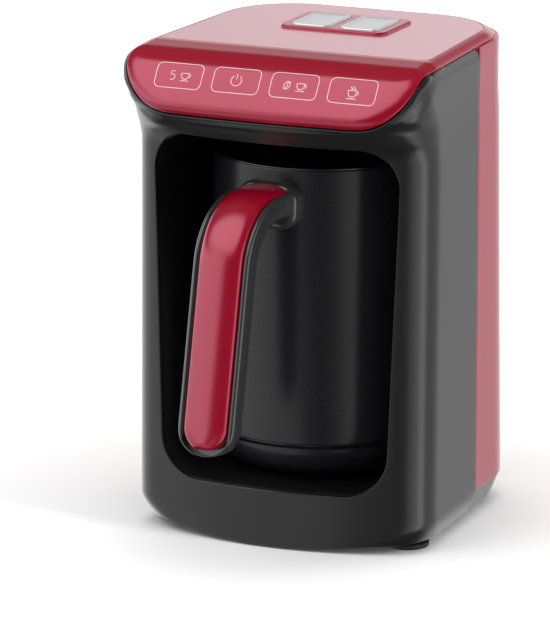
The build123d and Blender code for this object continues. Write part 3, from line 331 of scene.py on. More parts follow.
def plan(p):
    """Distance of points (mm, pot's axis at x = y = 0) from the casing's upright walls, negative inside."""
    x, y, z = np.abs(p[:, 0]), p[:, 1], p[:, 2]
    front, bow, rc, wide, rear_wide, rr = (eased(stations[:, 0], stations[:, k], z) for k in range(1, 7))
    # The side runs from its front end (wf, yc) to its rear end (wr, yr).
    yc = front + bow * (half_w / bow_half) ** 2
    yr = rear_mm - z * rear_slope
    wf = half_w + wide
    wr = half_w - (yr - yc) * lean + rear_wide
    length = np.hypot(wr - wf, yr - yc)
    dx, dy = (wr - wf) / length, (yr - yc) / length
    nx, ny = dy, -dx
    side = (x - wf) * nx + (y - yc) * ny
    # The bowed front is a large arc about (0, cy).
    big = (wf**2 + (yc - front) ** 2) / (2 * (yc - front))
    cy = front + big
    ahead = np.hypot(x, y - cy) - big
    # The front corner is an arc of radius rc about (fx, fy), which touches the side and the bow.
    qx, qy = wf - nx * rc, yc - ny * rc - cy
    along = qx * dx + qy * dy
    t = -along - np.sqrt(np.maximum(along**2 - (qx**2 + qy**2 - (big - rc) ** 2), 0.0))
    fx, fy = qx + t * dx, qy + cy + t * dy
    reach = np.hypot(fx, fy - cy)
    ex, ey = fx / reach, (fy - cy) / reach
    in_front = ((x - fx) * dx + (y - fy) * dy < 0) & ((x - fx) * -ey + (y - fy) * ex > 0)
    # The rear corner is an arc of radius rr about (gx, gy).
    gy = yr - rr
    gx = wf + (-rr - (gy - yc) * ny) / nx
    in_rear = (x > gx) & ((x - gx) * dx + (y - gy) * dy > 0)
    walls = np.maximum(np.maximum(side, ahead), y - yr)
    walls = np.where(in_front, np.hypot(x - fx, y - fy) - rc, walls)
    return np.where(in_rear, np.hypot(x - gx, y - gy) - rr, walls)


def casing(p):
    """Distance of points from the casing's whole outer surface, with label slope, brow and rounded lip."""
    roof = np.maximum(p[:, 2] - top_mm, (p - roof_at) @ roof_out)
    return rounded(rounded(plan(p), (p - label_at) @ label_out, brow_r), roof, lip_mm)


# Every ray leaves the casing within ray_mm; each halving doubles how finely its exit is known.
ray_mm = 320.0
halvings = 44


def on_casing(origin, toward, surface=casing):
    """Points where rays from inside, in mm, leave the surface."""
    origin = np.broadcast_to(np.asarray(origin, float), toward.shape)
    toward = toward / np.linalg.norm(toward, axis=1, keepdims=True)
    near, off = np.zeros(len(toward)), np.full(len(toward), ray_mm)
    for _ in range(halvings):
        mid = (near + off) / 2
        inside = surface(origin + toward * mid[:, None]) < 0
        near, off = np.where(inside, mid, near), np.where(inside, off, mid)
    return origin + toward * ((near + off) / 2)[:, None]


def outward(p, surface=casing):
    """Unit normals of the surface at p."""
    h = 0.02
    g = np.stack([surface(p + e) - surface(p - e) for e in np.eye(3) * h], axis=1)
    return g / np.linalg.norm(g, axis=1, keepdims=True)


def spread(points, count, closed=False):
    """The same line with count points at even steps along its length."""
    line = np.vstack([points, points[:1]]) if closed else points
    run = np.concatenate([[0.0], np.cumsum(np.linalg.norm(np.diff(line, axis=0), axis=1))])
    at = np.linspace(0.0, run[-1], count, endpoint=not closed)
    return np.stack([np.interp(at, run, line[:, k]) for k in range(line.shape[1])], axis=1)


def chained(runs, steps):
    """One line of several runs, each with its own number of even steps."""
    return np.vstack([spread(run, n + 1)[:-1] for run, n in zip(runs, steps)] + [runs[-1][-1:]])


def turned(cx, cy, r, a0, a1, steps=24):
    """Arc points about (cx, cy)."""
    a = np.radians(np.linspace(a0, a1, steps))
    return np.stack([cx + r * np.cos(a), cy + r * np.sin(a)], axis=1)


def fold(points, normals, inward, radius, depth):
    """Rows that roll a surface's edge over by radius and run depth into the wall."""
    rows = []
    for a in np.linspace(0.0, math.pi / 2, 6)[1:]:
        rows.append(points + inward * (radius * math.sin(a)) - normals * (radius * (1 - math.cos(a))))
    rows.append(points + inward * radius - normals * depth)
    return rows


def smooth(t):
    """Ease from 0 to 1."""
    t = np.clip(t, 0.0, 1.0)
    return t * t * (3.0 - 2.0 * t)


# The bay's mouth, in the XZ plane, from the middle of its floor round to the right.
mouth_top = 214.0
mouth_floor = 31.5
mouth_half_top = 69.0
mouth_half_floor = 62.8
mouth_r_floor = 22.0
mouth_r_top = 20.0


def mouth_line(grow):
    """Rounded outline of the mouth, grown by grow, one half, from floor middle to top middle."""
    hi, lo = mouth_top + grow, mouth_floor - grow
    wt, wb = mouth_half_top + grow, mouth_half_floor + grow
    rb, rt = mouth_r_floor + grow, mouth_r_top + grow
    d = np.array([wt - wb, hi - lo])
    d /= np.linalg.norm(d)
    n = np.array([d[1], -d[0]])
    bz, tz = lo + rb, hi - rt
    bx = wb + (-rb - (bz - lo) * n[1]) / n[0]
    tx = wb + (-rt - (tz - lo) * n[1]) / n[0]
    tilt = math.degrees(math.atan2(n[1], n[0]))
    return np.vstack([[(0.0, lo)], turned(bx, bz, rb, -90, tilt), turned(tx, tz, rt, tilt, 90), [(0.0, hi)]])


# The fascia's outline, in the XZ plane, from its lower middle round to the skirt on the right.
smile_low = 226.7
smile_half = 82.6
smile_r = 33.0


def smile_line(grow=0.0):
    """Outline of the fascia grown by grow, one half, from the lower middle to the skirt's height."""
    low, half, r = smile_low - grow, smile_half + grow, smile_r + grow
    end = math.degrees(math.asin((skirt_mm + grow - low - r) / r))
    return np.vstack([[(0.0, low)], turned(half - r, low + r, r, -90, end)])


# Plan point inside the casing from which its walls are met, and a plane behind its whole front.
heart = (0.0, -20.0)
behind_front = -40.0


def lay(flat):
    """Points of an XZ line laid on the front of the casing."""
    start = np.stack([flat[:, 0], np.full(len(flat), behind_front), flat[:, 1]], axis=1)
    return on_casing(start, np.tile([0.0, -1.0, 0.0], (len(flat), 1)))


def level(angles, heights, centre=heart, surface=casing):
    """Points of the casing at given plan angles about centre and given heights."""
    a = np.radians(angles)
    start = np.stack([np.full(len(a), centre[0]), np.full(len(a), centre[1]), heights + 0 * a], axis=1)
    return on_casing(start, np.stack([np.cos(a), np.sin(a), 0 * a], axis=1), surface)


def bearing(point):
    """Plan angle of a point about the heart."""
    return math.degrees(math.atan2(point[1] - heart[1], point[0] - heart[0]))


def whole(half):
    """Both halves of a line that starts and ends on x = 0, as one closed loop."""
    return np.vstack([half, (half * [-1.0, 1.0, 1.0])[-2:0:-1]])


def evened(inner, outer, places, turns):
    """Grid on the casing between two loops, relaxed on the unrolled wall until its lines cross squarely."""
    reach = 85.0
    flat = [np.stack([reach * np.arctan2(loop[:, 0], heart[1] - loop[:, 1]), loop[:, 2]], axis=1)
            for loop in (inner, outer)]
    net = np.stack([flat[0] + (flat[1] - flat[0]) * t for t in np.linspace(0.0, 1.0, 26)])
    for _ in range(turns):
        east, west = np.roll(net, -1, axis=1), np.roll(net, 1, axis=1)
        along, across = (east - west)[1:-1] / 2.0, (net[2:] - net[:-2]) / 2.0
        a = (across**2).sum(axis=2)[:, :, None]
        b = (across * along).sum(axis=2)[:, :, None]
        g = (along**2).sum(axis=2)[:, :, None]
        twist = (east[2:] - west[2:] - east[:-2] + west[:-2]) / 4.0
        net[1:-1] = (a * (east + west)[1:-1] + g * (net[2:] + net[:-2]) - 2.0 * b * twist) / (2.0 * (a + g))
    legs = np.linalg.norm(np.diff(net, axis=0), axis=2)
    run = np.vstack([np.zeros((1, legs.shape[1])), np.cumsum(legs, axis=0)])
    columns = [[np.interp(places * run[-1, k], run[:, k], net[:, k, axis]) for k in range(net.shape[1])]
               for axis in (0, 1)]
    net = np.array(columns).transpose(2, 1, 0)[1:-1]
    angle, height = net[:, :, 0].ravel() / reach, net[:, :, 1].ravel()
    start = np.stack([0 * angle, 0 * angle + heart[1], height], axis=1)
    laid = on_casing(start, np.stack([np.sin(angle), -np.cos(angle), 0 * angle], axis=1))
    return np.concatenate([inner[None], laid.reshape(net.shape[0], -1, 3), outer[None]])


def shell(name, rows, wall, edge, material, mouth_in):
    """Closed wall whose outside is the given rows; both edges roll over, the first one towards mouth_in."""
    outside = [np.asarray(r) for r in rows]
    faces = [outward(r) for r in outside]
    last = len(outside) - 1

    def rolled(at, beside, down):
        """Edge row rolled over, away from the row beside it."""
        run = outside[at] - outside[beside]
        run /= np.linalg.norm(run, axis=1, keepdims=True)
        return fold(outside[at], -down, run, edge, wall)

    inside = [r - n * wall for r, n in zip(outside, faces)]
    rim_in = rolled(0, 1, np.tile(mouth_in, (len(faces[0]), 1)))
    rim_out = rolled(last, last - 1, -faces[last])
    loop = rim_in[::-1] + outside + rim_out + inside[last - 1:0:-1]
    return rows_to_mesh(name, loop + [loop[0]], material)


# The lower edge rises from the middle of the front to the hem, along an arc.
chin_half = 58.0
chin_low = 1.2
chin_rise = hem_mm - chin_low
chin_r = (chin_half**2 + chin_rise**2) / (2.0 * chin_rise)


def chin(x):
    """Height of the housing's lower edge at x."""
    arc = chin_low + chin_r - np.sqrt(chin_r**2 - np.minimum(np.abs(x), chin_half) ** 2)
    return np.where(np.abs(x) < chin_half, arc, hem_mm)


edge_mm = 0.5
mouth_round = 1.0
fascia_gap = 0.25
to_right = np.array([[1.0, 0.0, 0.0]])
# Steps along the floor of the mouth, its lower corner, side, upper corner and top, and outside them.
run_steps = (36, 22, 70, 60, 34)
mouth = mouth_line(mouth_round)
arc_end = 25
mouth_runs = (mouth[:2], mouth[1:arc_end], mouth[arc_end - 1:arc_end + 2], mouth[arc_end + 1:-1], mouth[-2:])
inner_half = lay(chained(mouth_runs, run_steps))

# Outside, the runs are the chin, the front corner up to the seam, the seam, the skirt and the fascia's edge.
hem_corner_x = 70.0
smile_corner_x = 50.0
seam_low = on_casing([[0.0, seam_mm, hem_mm]], to_right)[0]
chin_turn = np.linspace(-90.0, bearing(seam_low), 200)
chin_run = level(chin_turn, chin(level(chin_turn, hem_mm)[:, 0]) + edge_mm)
chin_run = chin_run[chin_run[:, 1] < seam_mm - edge_mm]
seam_up = np.linspace(hem_mm + edge_mm, skirt_mm - edge_mm, 120)
seam_run = on_casing(np.stack([0 * seam_up, 0 * seam_up + seam_mm - edge_mm, seam_up], axis=1),
                     np.tile(to_right, (len(seam_up), 1)))
smile = lay(spread(smile_line(fascia_gap + edge_mm), 200))
skirt = level(np.linspace(bearing(seam_run[-1]), bearing(smile[-1]), 120), skirt_mm - edge_mm)
smile_down = smile[::-1]
hem_split = int(np.argmax(chin_run[:, 0] > hem_corner_x))
smile_split = int(np.argmax(smile_down[:, 0] < smile_corner_x))
outer_runs = (chin_run[:hem_split + 1], np.vstack([chin_run[hem_split:], seam_run[:1]]), seam_run,
              np.vstack([skirt, smile_down[1:smile_split + 1]]), smile_down[smile_split:])
outer_half = chained(outer_runs, run_steps)

# Rows lie closer towards the outer edge, for the band that stands up round the fascia.
row_places = np.concatenate([np.linspace(0.0, 0.7, 32)[:-1], np.linspace(0.7, 1.0, 30)])
housing_rows = evened(whole(inner_half), whole(outer_half), row_places, 700)
# Under the band the wall steps back into the visor's underside.
band_mm = 3.3
band_out = 0.9
step_back = 1.2
step_run = 0.6
fade_mm = 9.0
fascia_from_y = -50.0
fascia_ease = 15.0
rim = whole(smile)
from_rim = np.stack([np.linalg.norm(row[:, None] - rim[None], axis=2).min(axis=1) for row in housing_rows])
at_fascia = smooth((fascia_from_y - housing_rows[:, :, 1]) / fascia_ease)
housing_faces = np.asarray([outward(row) for row in housing_rows])
stepped = smooth((from_rim - band_mm) / step_run)
faded = 1.0 - smooth((from_rim - band_mm - step_run) / fade_mm)
bulge = band_out * smooth(from_rim / band_mm) * np.maximum(-housing_faces[:, :, 1], 0.0) ** 2
shift = at_fascia * (bulge * (1.0 - stepped) - step_back * stepped * faded)
housing_rows = housing_rows + housing_faces * shift[:, :, None]
front_housing = shell("front_housing_shell", housing_rows, wall_mm, edge_mm, dark_abs, (0.0, 1.0, 0.0))
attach(front_housing, "machine")
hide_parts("front_housing")


# ---- Rear cover
# Pearl-lacquered ABS, glossy crimson: the rear and the rear part of both sides in one moulding.
# It stands on the base's ring, meets the front housing at the side seams and carries the cord gland.
# Pearl lacquer: fine flakes under a clear coat, so it shows soft colour with a sharp reflection over it.
crimson = grained("pearl_lacquered_abs", "#8d051c", "#950925", 0.22, 0.03, 0.4, 0.0004,
                  {"IOR": 1.5, "Metallic": 0.1, "Specular IOR Level": 0.95, "Specular Tint": srgb("#ffb2d4"),
                   "Coat Weight": 0.45, "Coat Roughness": 0.07})
to_front = np.array([[0.0, -1.0, 0.0]])
cover_low = 15.5
cover_edge = 0.6
cover_columns = 240


def cover_ring(height, inset):
    """Closed outline of the cover's wall at a height, with its outside moved inward by inset."""
    def outside(p):
        """The wall's outer surface."""
        return plan(p) + inset

    def inside(p):
        """The wall's inner surface."""
        return plan(p) + wall_mm

    start = on_casing([[0.0, seam_mm + 0.1 + cover_edge, height]], to_right, outside)[0]
    turn = np.linspace(bearing(start), 180.0 - bearing(start), cover_columns)
    outer = level(turn, height, surface=outside)
    inner = level(turn, height, surface=inside)
    # The right-hand end rolls over, and the left-hand one is cut square.
    right_end = fold(outer[:1], outward(outer[:1], outside), to_front, cover_edge, wall_mm - inset)
    return np.vstack(right_end[::-1] + [outer, inner[::-1]])


def edge_round(r, first=0.0, steps=5):
    """Insets and drops of an edge rounded by r, from the wall's face to the top's."""
    turn = np.linspace(first, math.pi / 2, steps)[::-1]
    return [(r * (1 - math.sin(a)), r * (1 - math.cos(a))) for a in turn]


def combined(piece, tool, operation):
    """Cut the tool from the piece or weld it on, and remove the tool."""
    change = piece.modifiers.new("change", "BOOLEAN")
    change.object = tool
    change.operation = operation
    change.solver = "EXACT"
    settled(piece)
    bpy.data.objects.remove(tool)


def bored(piece, centre, radius, length):
    """Cut a round hole along Y through the piece."""
    drill_mesh = bpy.data.meshes.new("drill")
    work = bmesh.new()
    bmesh.ops.create_cone(work, cap_ends=True, segments=64, radius1=radius * MM, radius2=radius * MM,
                          depth=length * MM)
    bmesh.ops.rotate(work, verts=work.verts, matrix=Matrix.Rotation(math.pi / 2, 3, "X"))
    bmesh.ops.translate(work, verts=work.verts, vec=Vector(centre) * MM + Vector((0.0, pot_y, 0.0)))
    work.to_mesh(drill_mesh)
    work.free()
    combined(piece, added("drill", drill_mesh), "DIFFERENCE")


cover_rows = [cover_ring(cover_low + drop, inset) for inset, drop in edge_round(cover_edge)[::-1]]
cover_rows += [cover_ring(z, 0.0) for z in np.linspace(cover_low + 1.5, skirt_mm - 2.0, 22)]
cover_rows += [cover_ring(skirt_mm - drop, inset) for inset, drop in edge_round(cover_edge)]
rear_cover = rows_to_mesh("rear_cover_shell", cover_rows, crimson, caps=True)
gland_x = 20.0
gland_z = 28.0
bored(rear_cover, (gland_x, rear_mm, gland_z), 6.6, 20.0)
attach(rear_cover, "machine")
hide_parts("rear_cover")


# ---- Cord gland
# A ribbed nylon gland pushed through the rear cover, held by a hexagonal nut from inside.
# Its mouth is rounded for the lead, and a ring of fine ribs gives the fingers a grip.
def grip_ring():
    """Geometry Nodes tree: round grip ribs set evenly round a flange, along its axis."""
    tree, given = growth("grip_ring", {
        "Flange": "Geometry", "Ribs": "Int", "Ring Radius": "Float", "Rib Radius": "Float",
        "Rib Length": "Float", "Centre": "Vector", "Finish": "Material"})
    ring = put(tree, "GeometryNodeMeshCircle", {"Vertices": given["Ribs"], "Radius": given["Ring Radius"]})
    rib = put(tree, "GeometryNodeMeshCylinder",
              {"Vertices": 12, "Radius": given["Rib Radius"], "Depth": given["Rib Length"]})
    many = put(tree, "GeometryNodeInstanceOnPoints",
               {"Points": ring.outputs["Mesh"], "Instance": rib.outputs["Mesh"]})
    laid = put(tree, "GeometryNodeTransform",
               {"Geometry": many.outputs[0], "Translation": given["Centre"],
                "Rotation": (math.pi / 2.0, 0.0, 0.0)})
    both = put(tree, "GeometryNodeJoinGeometry")
    tree.links.new(laid.outputs[0], both.inputs[0])
    tree.links.new(given["Flange"], both.inputs[0])
    return ended(tree, both.outputs[0], given["Finish"])


# Moulded nylon: black with a dry, even sheen.
nylon = grained("moulded_black_nylon", "#141415", "#1b1b1c", 0.45, 0.06, 0.3, 0.006, {"IOR": 1.53})
gland_back = (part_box("cable_gland")[1].y - pot_y) / MM
sharp_angle = math.radians(40.0)
# From the bore's inner end round: sleeve, flange against the cover, and the rounded mouth for the lead.
gland_profile = [(3.3, -14.5), (6.5, -14.5), (6.5, -2.9), (8.6, -2.9), (8.6, -0.7), (8.3, -0.2), (7.8, 0.0),
                 (5.2, 0.0), (4.3, -0.3), (3.6, -0.9), (3.3, -1.8)]
gland_rows = [[(gland_x + r * math.cos(a), gland_back + y, gland_z + r * math.sin(a))
               for a in np.linspace(0.0, 2 * math.pi, 64, endpoint=False)] for r, y in gland_profile]
gland_body = rows_to_mesh("gland_body", gland_rows + [gland_rows[0]], nylon)
gland_body.data.set_sharp_from_angle(angle=sharp_angle)
ring_centre = (gland_x * MM, pot_y + (gland_back - 1.6) * MM, gland_z * MM)
gland = grown(gland_body, grip_ring(), {"Ribs": 30, "Ring Radius": 8.5 * MM, "Rib Radius": 0.48 * MM,
                                        "Rib Length": 2.4 * MM, "Centre": ring_centre, "Finish": nylon})
gland.name = "ribbed_cord_gland"
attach(gland, "machine")
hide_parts("cable_gland")
dress("gland_nut", nylon)

# ---- Pot bay
# A dark polypropylene liner closes the bay. A sensor looks down through a lens in its ceiling, and the
# pot's plug meets a socket with brass contacts in its rear wall.
# Polypropylene: a waxy black. Polycarbonate: smoked, nearly clear and sharply glossy. PBT: a dry grey-black.
dress("bay_liner", grained("moulded_black_polypropylene", "#131314", "#18181a", 0.3, 0.04, 0.4, 0.003,
                           {"IOR": 1.49}))
dress("sensor_lens", grained("smoked_polycarbonate_lens", "#160406", "#1c0709", 0.08, 0.02, 2.0, 0.0005,
                             {"IOR": 1.58, "Coat Weight": 0.5}))
housing_pbt = grained("moulded_black_pbt", "#121213", "#1a1a1b", 0.5, 0.06, 0.25, 0.006, {"IOR": 1.55})
for node in ("sensor_housing", "socket_housing", "pot_connector"):
    dress(node, housing_pbt)
# Rolled brass: warm metal with fine tarnish clouds.
brass = grained("rolled_brass", "#b08a3c", "#c9a652", 0.28, 0.08, 0.5, 0.002, {"Metallic": 1.0})
dress("socket_contacts", brass)
dress("connector_pins", brass)

# ---- Electrics
# Two fibreglass boards with the parts that run the machine: one under the buttons, one on the bay's
# roof. A ribbon and a loom of three wires join them to each other and to the terminal block.
# Solder mask on fibreglass: deep green, a little glossy, with the weave just felt in the surface.
solder_mask = grained("fibreglass_board", "#0d4a2c", "#125c37", 0.35, 0.06, 0.6, 0.01,
                      {"IOR": 1.55, "Coat Weight": 0.3})
dress("control_board", solder_mask)
dress("power_board", solder_mask)
dress("board_screws", screw_steel)
# Small parts: satin moulded plastics, milky LED epoxy, amber winding tape with a felt edge at each turn,
# shrunk PVC sleeves with a light gloss, and rubbery silicone round the wires.
part_finishes = {
    "tact_switches": ("moulded_switch_nylon", "#1a1a1c", "#242427", 0.45, 0.06, 0.3, 0.004),
    "status_leds": ("diffused_led_epoxy", "#9c1410", "#b4241b", 0.22, 0.04, 0.8, 0.001,
                    {"IOR": 1.55, "Transmission Weight": 0.25}),
    "buzzer": ("moulded_noryl", "#101012", "#18181a", 0.42, 0.05, 0.3, 0.004),
    "transformer": ("varnished_winding_tape", "#c79a1e", "#dbb03a", 0.4, 0.08, 1.2, 0.03),
    "relay": ("moulded_blue_pbt", "#1b3f86", "#234c9a", 0.38, 0.05, 0.3, 0.004),
    "capacitors": ("printed_pvc_sleeve", "#14213c", "#1c2c4e", 0.3, 0.05, 0.5, 0.002, {"Coat Weight": 0.3}),
    "board_ribbon": ("extruded_grey_pvc", "#8f9396", "#a4a8ab", 0.5, 0.06, 1.27, 0.05),
    "terminal_block": ("moulded_polyamide", "#d8d4c8", "#e4e0d5", 0.45, 0.06, 0.4, 0.005, {"IOR": 1.53}),
    "wire_loom": ("silicone_wire_sleeve", "#4a1512", "#5d1d18", 0.55, 0.08, 0.8, 0.03),
}
for node, finish in part_finishes.items():
    dress(node, grained(*finish))

# ---- Hood
# Crimson moulding that closes the top: sloping fascia, rounded brow and the frame of the top plate.
# Its front edge rolls back into the dark rim, and its skirt stands on the two housings.
recess_in = 8.2
recess_front = -43.5
recess_r = 6.0
ledge_in = 12.0
ledge_t = 1.5
plate_t = 1.0
gap_mm = 0.25
hood_wall = 2.0
# The edge rolls over by a height and a width: a soft pillow round the fascia, a small round on the skirt.
pillow_h = 1.6
pillow_w = 4.5
skirt_roll_h = 0.5
skirt_roll_w = 0.8


def web(inner, outer, origin, steps):
    """Rows of points on the casing from the inner loop to the outer one."""
    a, b = inner - origin, outer - origin
    a /= np.linalg.norm(a, axis=1, keepdims=True)
    b /= np.linalg.norm(b, axis=1, keepdims=True)
    return [inner] + [on_casing(origin, a + (b - a) * t) for t in steps] + [outer]


def recess(inset):
    """Surface round the top plate's outline, moved inward by inset from the casing."""
    return lambda p: rounded(plan(p) + inset, recess_front + inset - recess_in - p[:, 1], recess_r)


def plate_loop(inset, height):
    """Half outline of the recess at a height: 160 points along the front, then 200 round to the rear."""
    half = level(np.linspace(-90.0, 90.0, 1441), height, (0.0, 12.0), recess(inset))
    corner_at = int(np.argmax(half[:, 1] > recess_front + inset - recess_in + 2.2))
    return np.vstack([spread(half[:corner_at + 1], 160)[:-1], spread(half[corner_at:], 200)])


smile_edge = lay(spread(smile_line(), 260))
skirt_edge = level(np.linspace(bearing(smile_edge[-1]), 90.0, 700), skirt_mm)
hood_low = np.vstack([spread(smile_edge, 160)[:-1], spread(skirt_edge, 200)])
hood_high = plate_loop(recess_in - gap_mm, top_mm)
hood_places = (1.0 - np.cos(np.linspace(0.0, math.pi, 76))) / 2.0
hood_heart = np.array([0.0, -10.0, 225.0])
hood_rows = np.asarray(web(whole(hood_high), whole(hood_low), hood_heart, hood_places[1:-1]))
leap = np.linalg.norm(np.diff(hood_rows, axis=0), axis=2)
from_edge = np.vstack([np.cumsum(leap[::-1], axis=0)[::-1], np.zeros((1, leap.shape[1]))])
on_smile = smooth((skirt_mm + 1.0 - hood_rows[-1][:, 2]) / 6.0)
roll_h = skirt_roll_h + (pillow_h - skirt_roll_h) * on_smile
roll_w = skirt_roll_w + (pillow_w - skirt_roll_w) * on_smile
fall = roll_h * (1.0 - np.sqrt(1.0 - np.clip(1.0 - from_edge / roll_w, 0.0, 1.0) ** 2))
hood_faces = np.asarray([outward(row) for row in hood_rows])
hood_rows = hood_rows - hood_faces * fall[:, :, None]
hood_inside = [row - face * hood_wall for row, face in zip(hood_rows, hood_faces)]
hood_inside[-1][:, 2] = np.maximum(hood_inside[-1][:, 2], hood_rows[-1][:, 2])
seat = top_mm - plate_t - 0.02
rebate_in = recess_in - gap_mm
ledge_profile = ((ledge_in, seat - ledge_t), (ledge_in, seat), (rebate_in, seat), (rebate_in, top_mm - 0.3))
ledge = [whole(plate_loop(inset, z)) for inset, z in ledge_profile]
hood_loop = ledge + list(hood_rows) + hood_inside[:0:-4]
hood = rows_to_mesh("hood_shell", hood_loop + [hood_loop[0]], crimson)
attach(hood, "machine")
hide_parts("hood")


# ---- Fascia print
# Four outlined fields are screen-printed in pale ink on the sloping fascia. Each holds a plain pictogram:
# a count of cups, a switch-off sign, a roasted bean with a cup, and a steaming cup.
# Screen ink: pale rose, matt beside the lacquer.
ink = grained("screen_printed_ink", "#e8ccd2", "#f2dde1", 0.5, 0.05, 0.3, 0.001)
label_up = np.array([0.0, 0.545, 0.8385])
label_low = np.array([0.0, -80.1, 241.1])
field_w = 26.0
field_h = 13.9
field_r = 3.0
field_pitch = 32.3
line_w = 0.38
line_t = 0.05
line_root = 0.03


def printed(path, loop):
    """Rows of a printed line on the label slope: path in mm, across and up the slope."""
    path = np.asarray(path, float)
    ahead = np.roll(path, -1, axis=0) - np.roll(path, 1, axis=0)
    if not loop:
        ahead[0], ahead[-1] = path[1] - path[0], path[-1] - path[-2]
    ahead /= np.linalg.norm(ahead, axis=1, keepdims=True)
    side = np.stack([-ahead[:, 1], ahead[:, 0]], axis=1) * line_w / 2.0
    rows = []
    for aside, lift in ((-side, -line_root), (-side, line_t), (side, line_t), (side, -line_root)):
        flat = path + aside
        base = label_low + flat[:, :1] * to_right + flat[:, 1:] * label_up
        laid = on_casing(base - label_out * 6.0, np.tile(label_out, (len(base), 1)))
        rows.append(laid + label_out * lift)
    ring = np.stack(rows, axis=1)
    return np.vstack([ring, ring[:1]]) if loop else ring


def pad_line(cx, cy, half_across, half_along, r, steps=8):
    """Outline of a rounded rectangle."""
    quarter = [turned(cx + sx * (half_across - r), cy + sy * (half_along - r), r, a, a + 90, steps)
               for sx, sy, a in ((1, 1, 0), (-1, 1, 90), (-1, -1, 180), (1, -1, 270))]
    return np.vstack(quarter)


def cup_lines(cx, cy, size):
    """Strokes of a small cup: bowl, rim, handle and saucer."""
    at = np.array([cx, cy])
    bowl = np.array([(-1.0, 0.75), (-0.86, -0.2), (-0.45, -0.7), (0.45, -0.7), (0.86, -0.2), (1.0, 0.75)])
    return [(spread(at + bowl * size, 24), False),
            (at + bowl[[0, -1]] * size, False),
            (turned(cx + size, cy + size * 0.15, size * 0.42, -80, 80, 10), False),
            (at + np.array([(-1.1, -1.15), (1.1, -1.15)]) * size, False)]


def steam_lines(cx, cy, size):
    """Two wisps above a cup."""
    t = np.linspace(0.0, 1.0, 12)
    wisp = np.stack([0.25 * np.sin(2 * math.pi * t), 1.15 + 0.85 * t], axis=1) * size
    return [(wisp + [cx + aside * size, cy], False) for aside in (-0.4, 0.4)]


def joined(name, parts):
    """Several made objects as one piece."""
    work = bmesh.new()
    for part in parts:
        work.from_mesh(part.data)
    first = parts[0]
    work.to_mesh(first.data)
    work.free()
    for part in parts[1:]:
        bpy.data.objects.remove(part)
    first.name = name
    first.data.polygons.foreach_set("use_smooth", [True] * len(first.data.polygons))
    return first


field_mid = field_h / 2.0
count_x, off_x, bean_x, steam_x = [(n - 1.5) * field_pitch for n in range(4)]
strokes = [(spread(pad_line(x, field_mid, field_w / 2.0, field_h / 2.0, field_r), 110, closed=True), True)
           for x in (count_x, off_x, bean_x, steam_x)]
# Count of cups: the numeral 5 beside a cup.
five = np.vstack([[(-1.2, 4.6), (-3.3, 4.6), (-3.5, 2.6)], turned(-2.5, 1.35, 1.55, 115, -130, 14)])
strokes += cup_lines(count_x + 3.4, field_mid - 0.2, 2.2)
strokes.append((five + [count_x - 1.2, field_mid - 2.3], False))
# Switch-off sign: an open ring with a short bar.
strokes.append((turned(off_x, field_mid, 2.9, 125, 415, 28), False))
strokes.append((np.array([(off_x, field_mid + 3.6), (off_x, field_mid + 0.6)]), False))
# Roasted bean, leaning and creased, beside a cup.
bean_lean = np.array([[math.cos(0.5), -math.sin(0.5)], [math.sin(0.5), math.cos(0.5)]])
bean = (turned(0.0, 0.0, 1.0, 0, 345, 24) * [1.5, 2.3]) @ bean_lean
crease = np.array([(1.0, 1.9), (0.2, 0.7), (0.1, -0.5), (-0.9, -1.8)])
bean_at = [bean_x - 4.0, field_mid]
strokes += [(bean + bean_at, True), (crease + bean_at, False)]
strokes += cup_lines(bean_x + 3.6, field_mid - 0.2, 2.2)
# Steaming cup.
strokes += cup_lines(steam_x, field_mid - 1.4, 2.4) + steam_lines(steam_x, field_mid - 1.4, 2.0)

printed_lines = [rows_to_mesh("line", printed(path, loop), ink, caps=not loop) for path, loop in strokes]
fascia_print = joined("fascia_print", printed_lines)
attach(fascia_print, "machine")

# ---- Top plate
# Rose pearl panel, moulded and lacquered, let into the hood with a fine open line round it.
# The button tray passes down through its rectangular hole.
rose_pearl = grained("rose_pearl_lacquer", "#b25a6b", "#b96373", 0.26, 0.04, 0.4, 0.0004,
                     {"IOR": 1.5, "Metallic": 0.15, "Coat Weight": 0.9, "Coat Roughness": 0.05})
tray_y = 28.0
tray_half_w = 28.0
tray_half_l = 18.5
tray_r = 3.5
plate_r = 0.45
plate_low = top_mm - plate_t
plate_turn = np.linspace(-90.0, 270.0, 720, endpoint=False)


def pad(half_across, half_along, r):
    """Surface round a rounded rectangle about the middle of the tray."""
    def distance(p):
        """Distance of points from it."""
        qx = np.abs(p[:, 0]) - half_across + r
        qy = np.abs(p[:, 1] - tray_y) - half_along + r
        return np.hypot(np.maximum(qx, 0.0), np.maximum(qy, 0.0)) + np.minimum(np.maximum(qx, qy), 0.0) - r
    return distance


def plate_ring(inset, z):
    """Outline of the plate at a height, moved inward by inset."""
    return level(plate_turn, z, (0.0, tray_y), recess(recess_in + inset))


def hole_ring(grow, z):
    """Outline of the plate's hole at a height, grown by grow."""
    return level(plate_turn, z, (0.0, tray_y), pad(tray_half_w + grow, tray_half_l + grow, tray_r + grow))


plate_rows = [plate_ring(0.0, plate_low)]
plate_rows += [plate_ring(inset, top_mm - drop) for inset, drop in edge_round(plate_r)]
plate_rows += [plate_ring(inset, top_mm) for inset in (1.2, 6.0)]
plate_rows += [hole_ring(grow, top_mm) for grow in (4.0, 0.5)]
plate_rows += [hole_ring(0.05, top_mm - 0.3), hole_ring(0.0, plate_low)]
top_plate = rows_to_mesh("top_plate_panel", plate_rows + [plate_rows[0]], rose_pearl)
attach(top_plate, "machine")
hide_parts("top_plate")

# ---- Buttons
# Two rocker-shaped caps with a satin silver finish, set in a crimson frame that stands up from the plate.
# Each cap sinks 1.5 mm on its own steel spring; its stem slides in the tray under the frame.
dress("button_bezel", crimson)
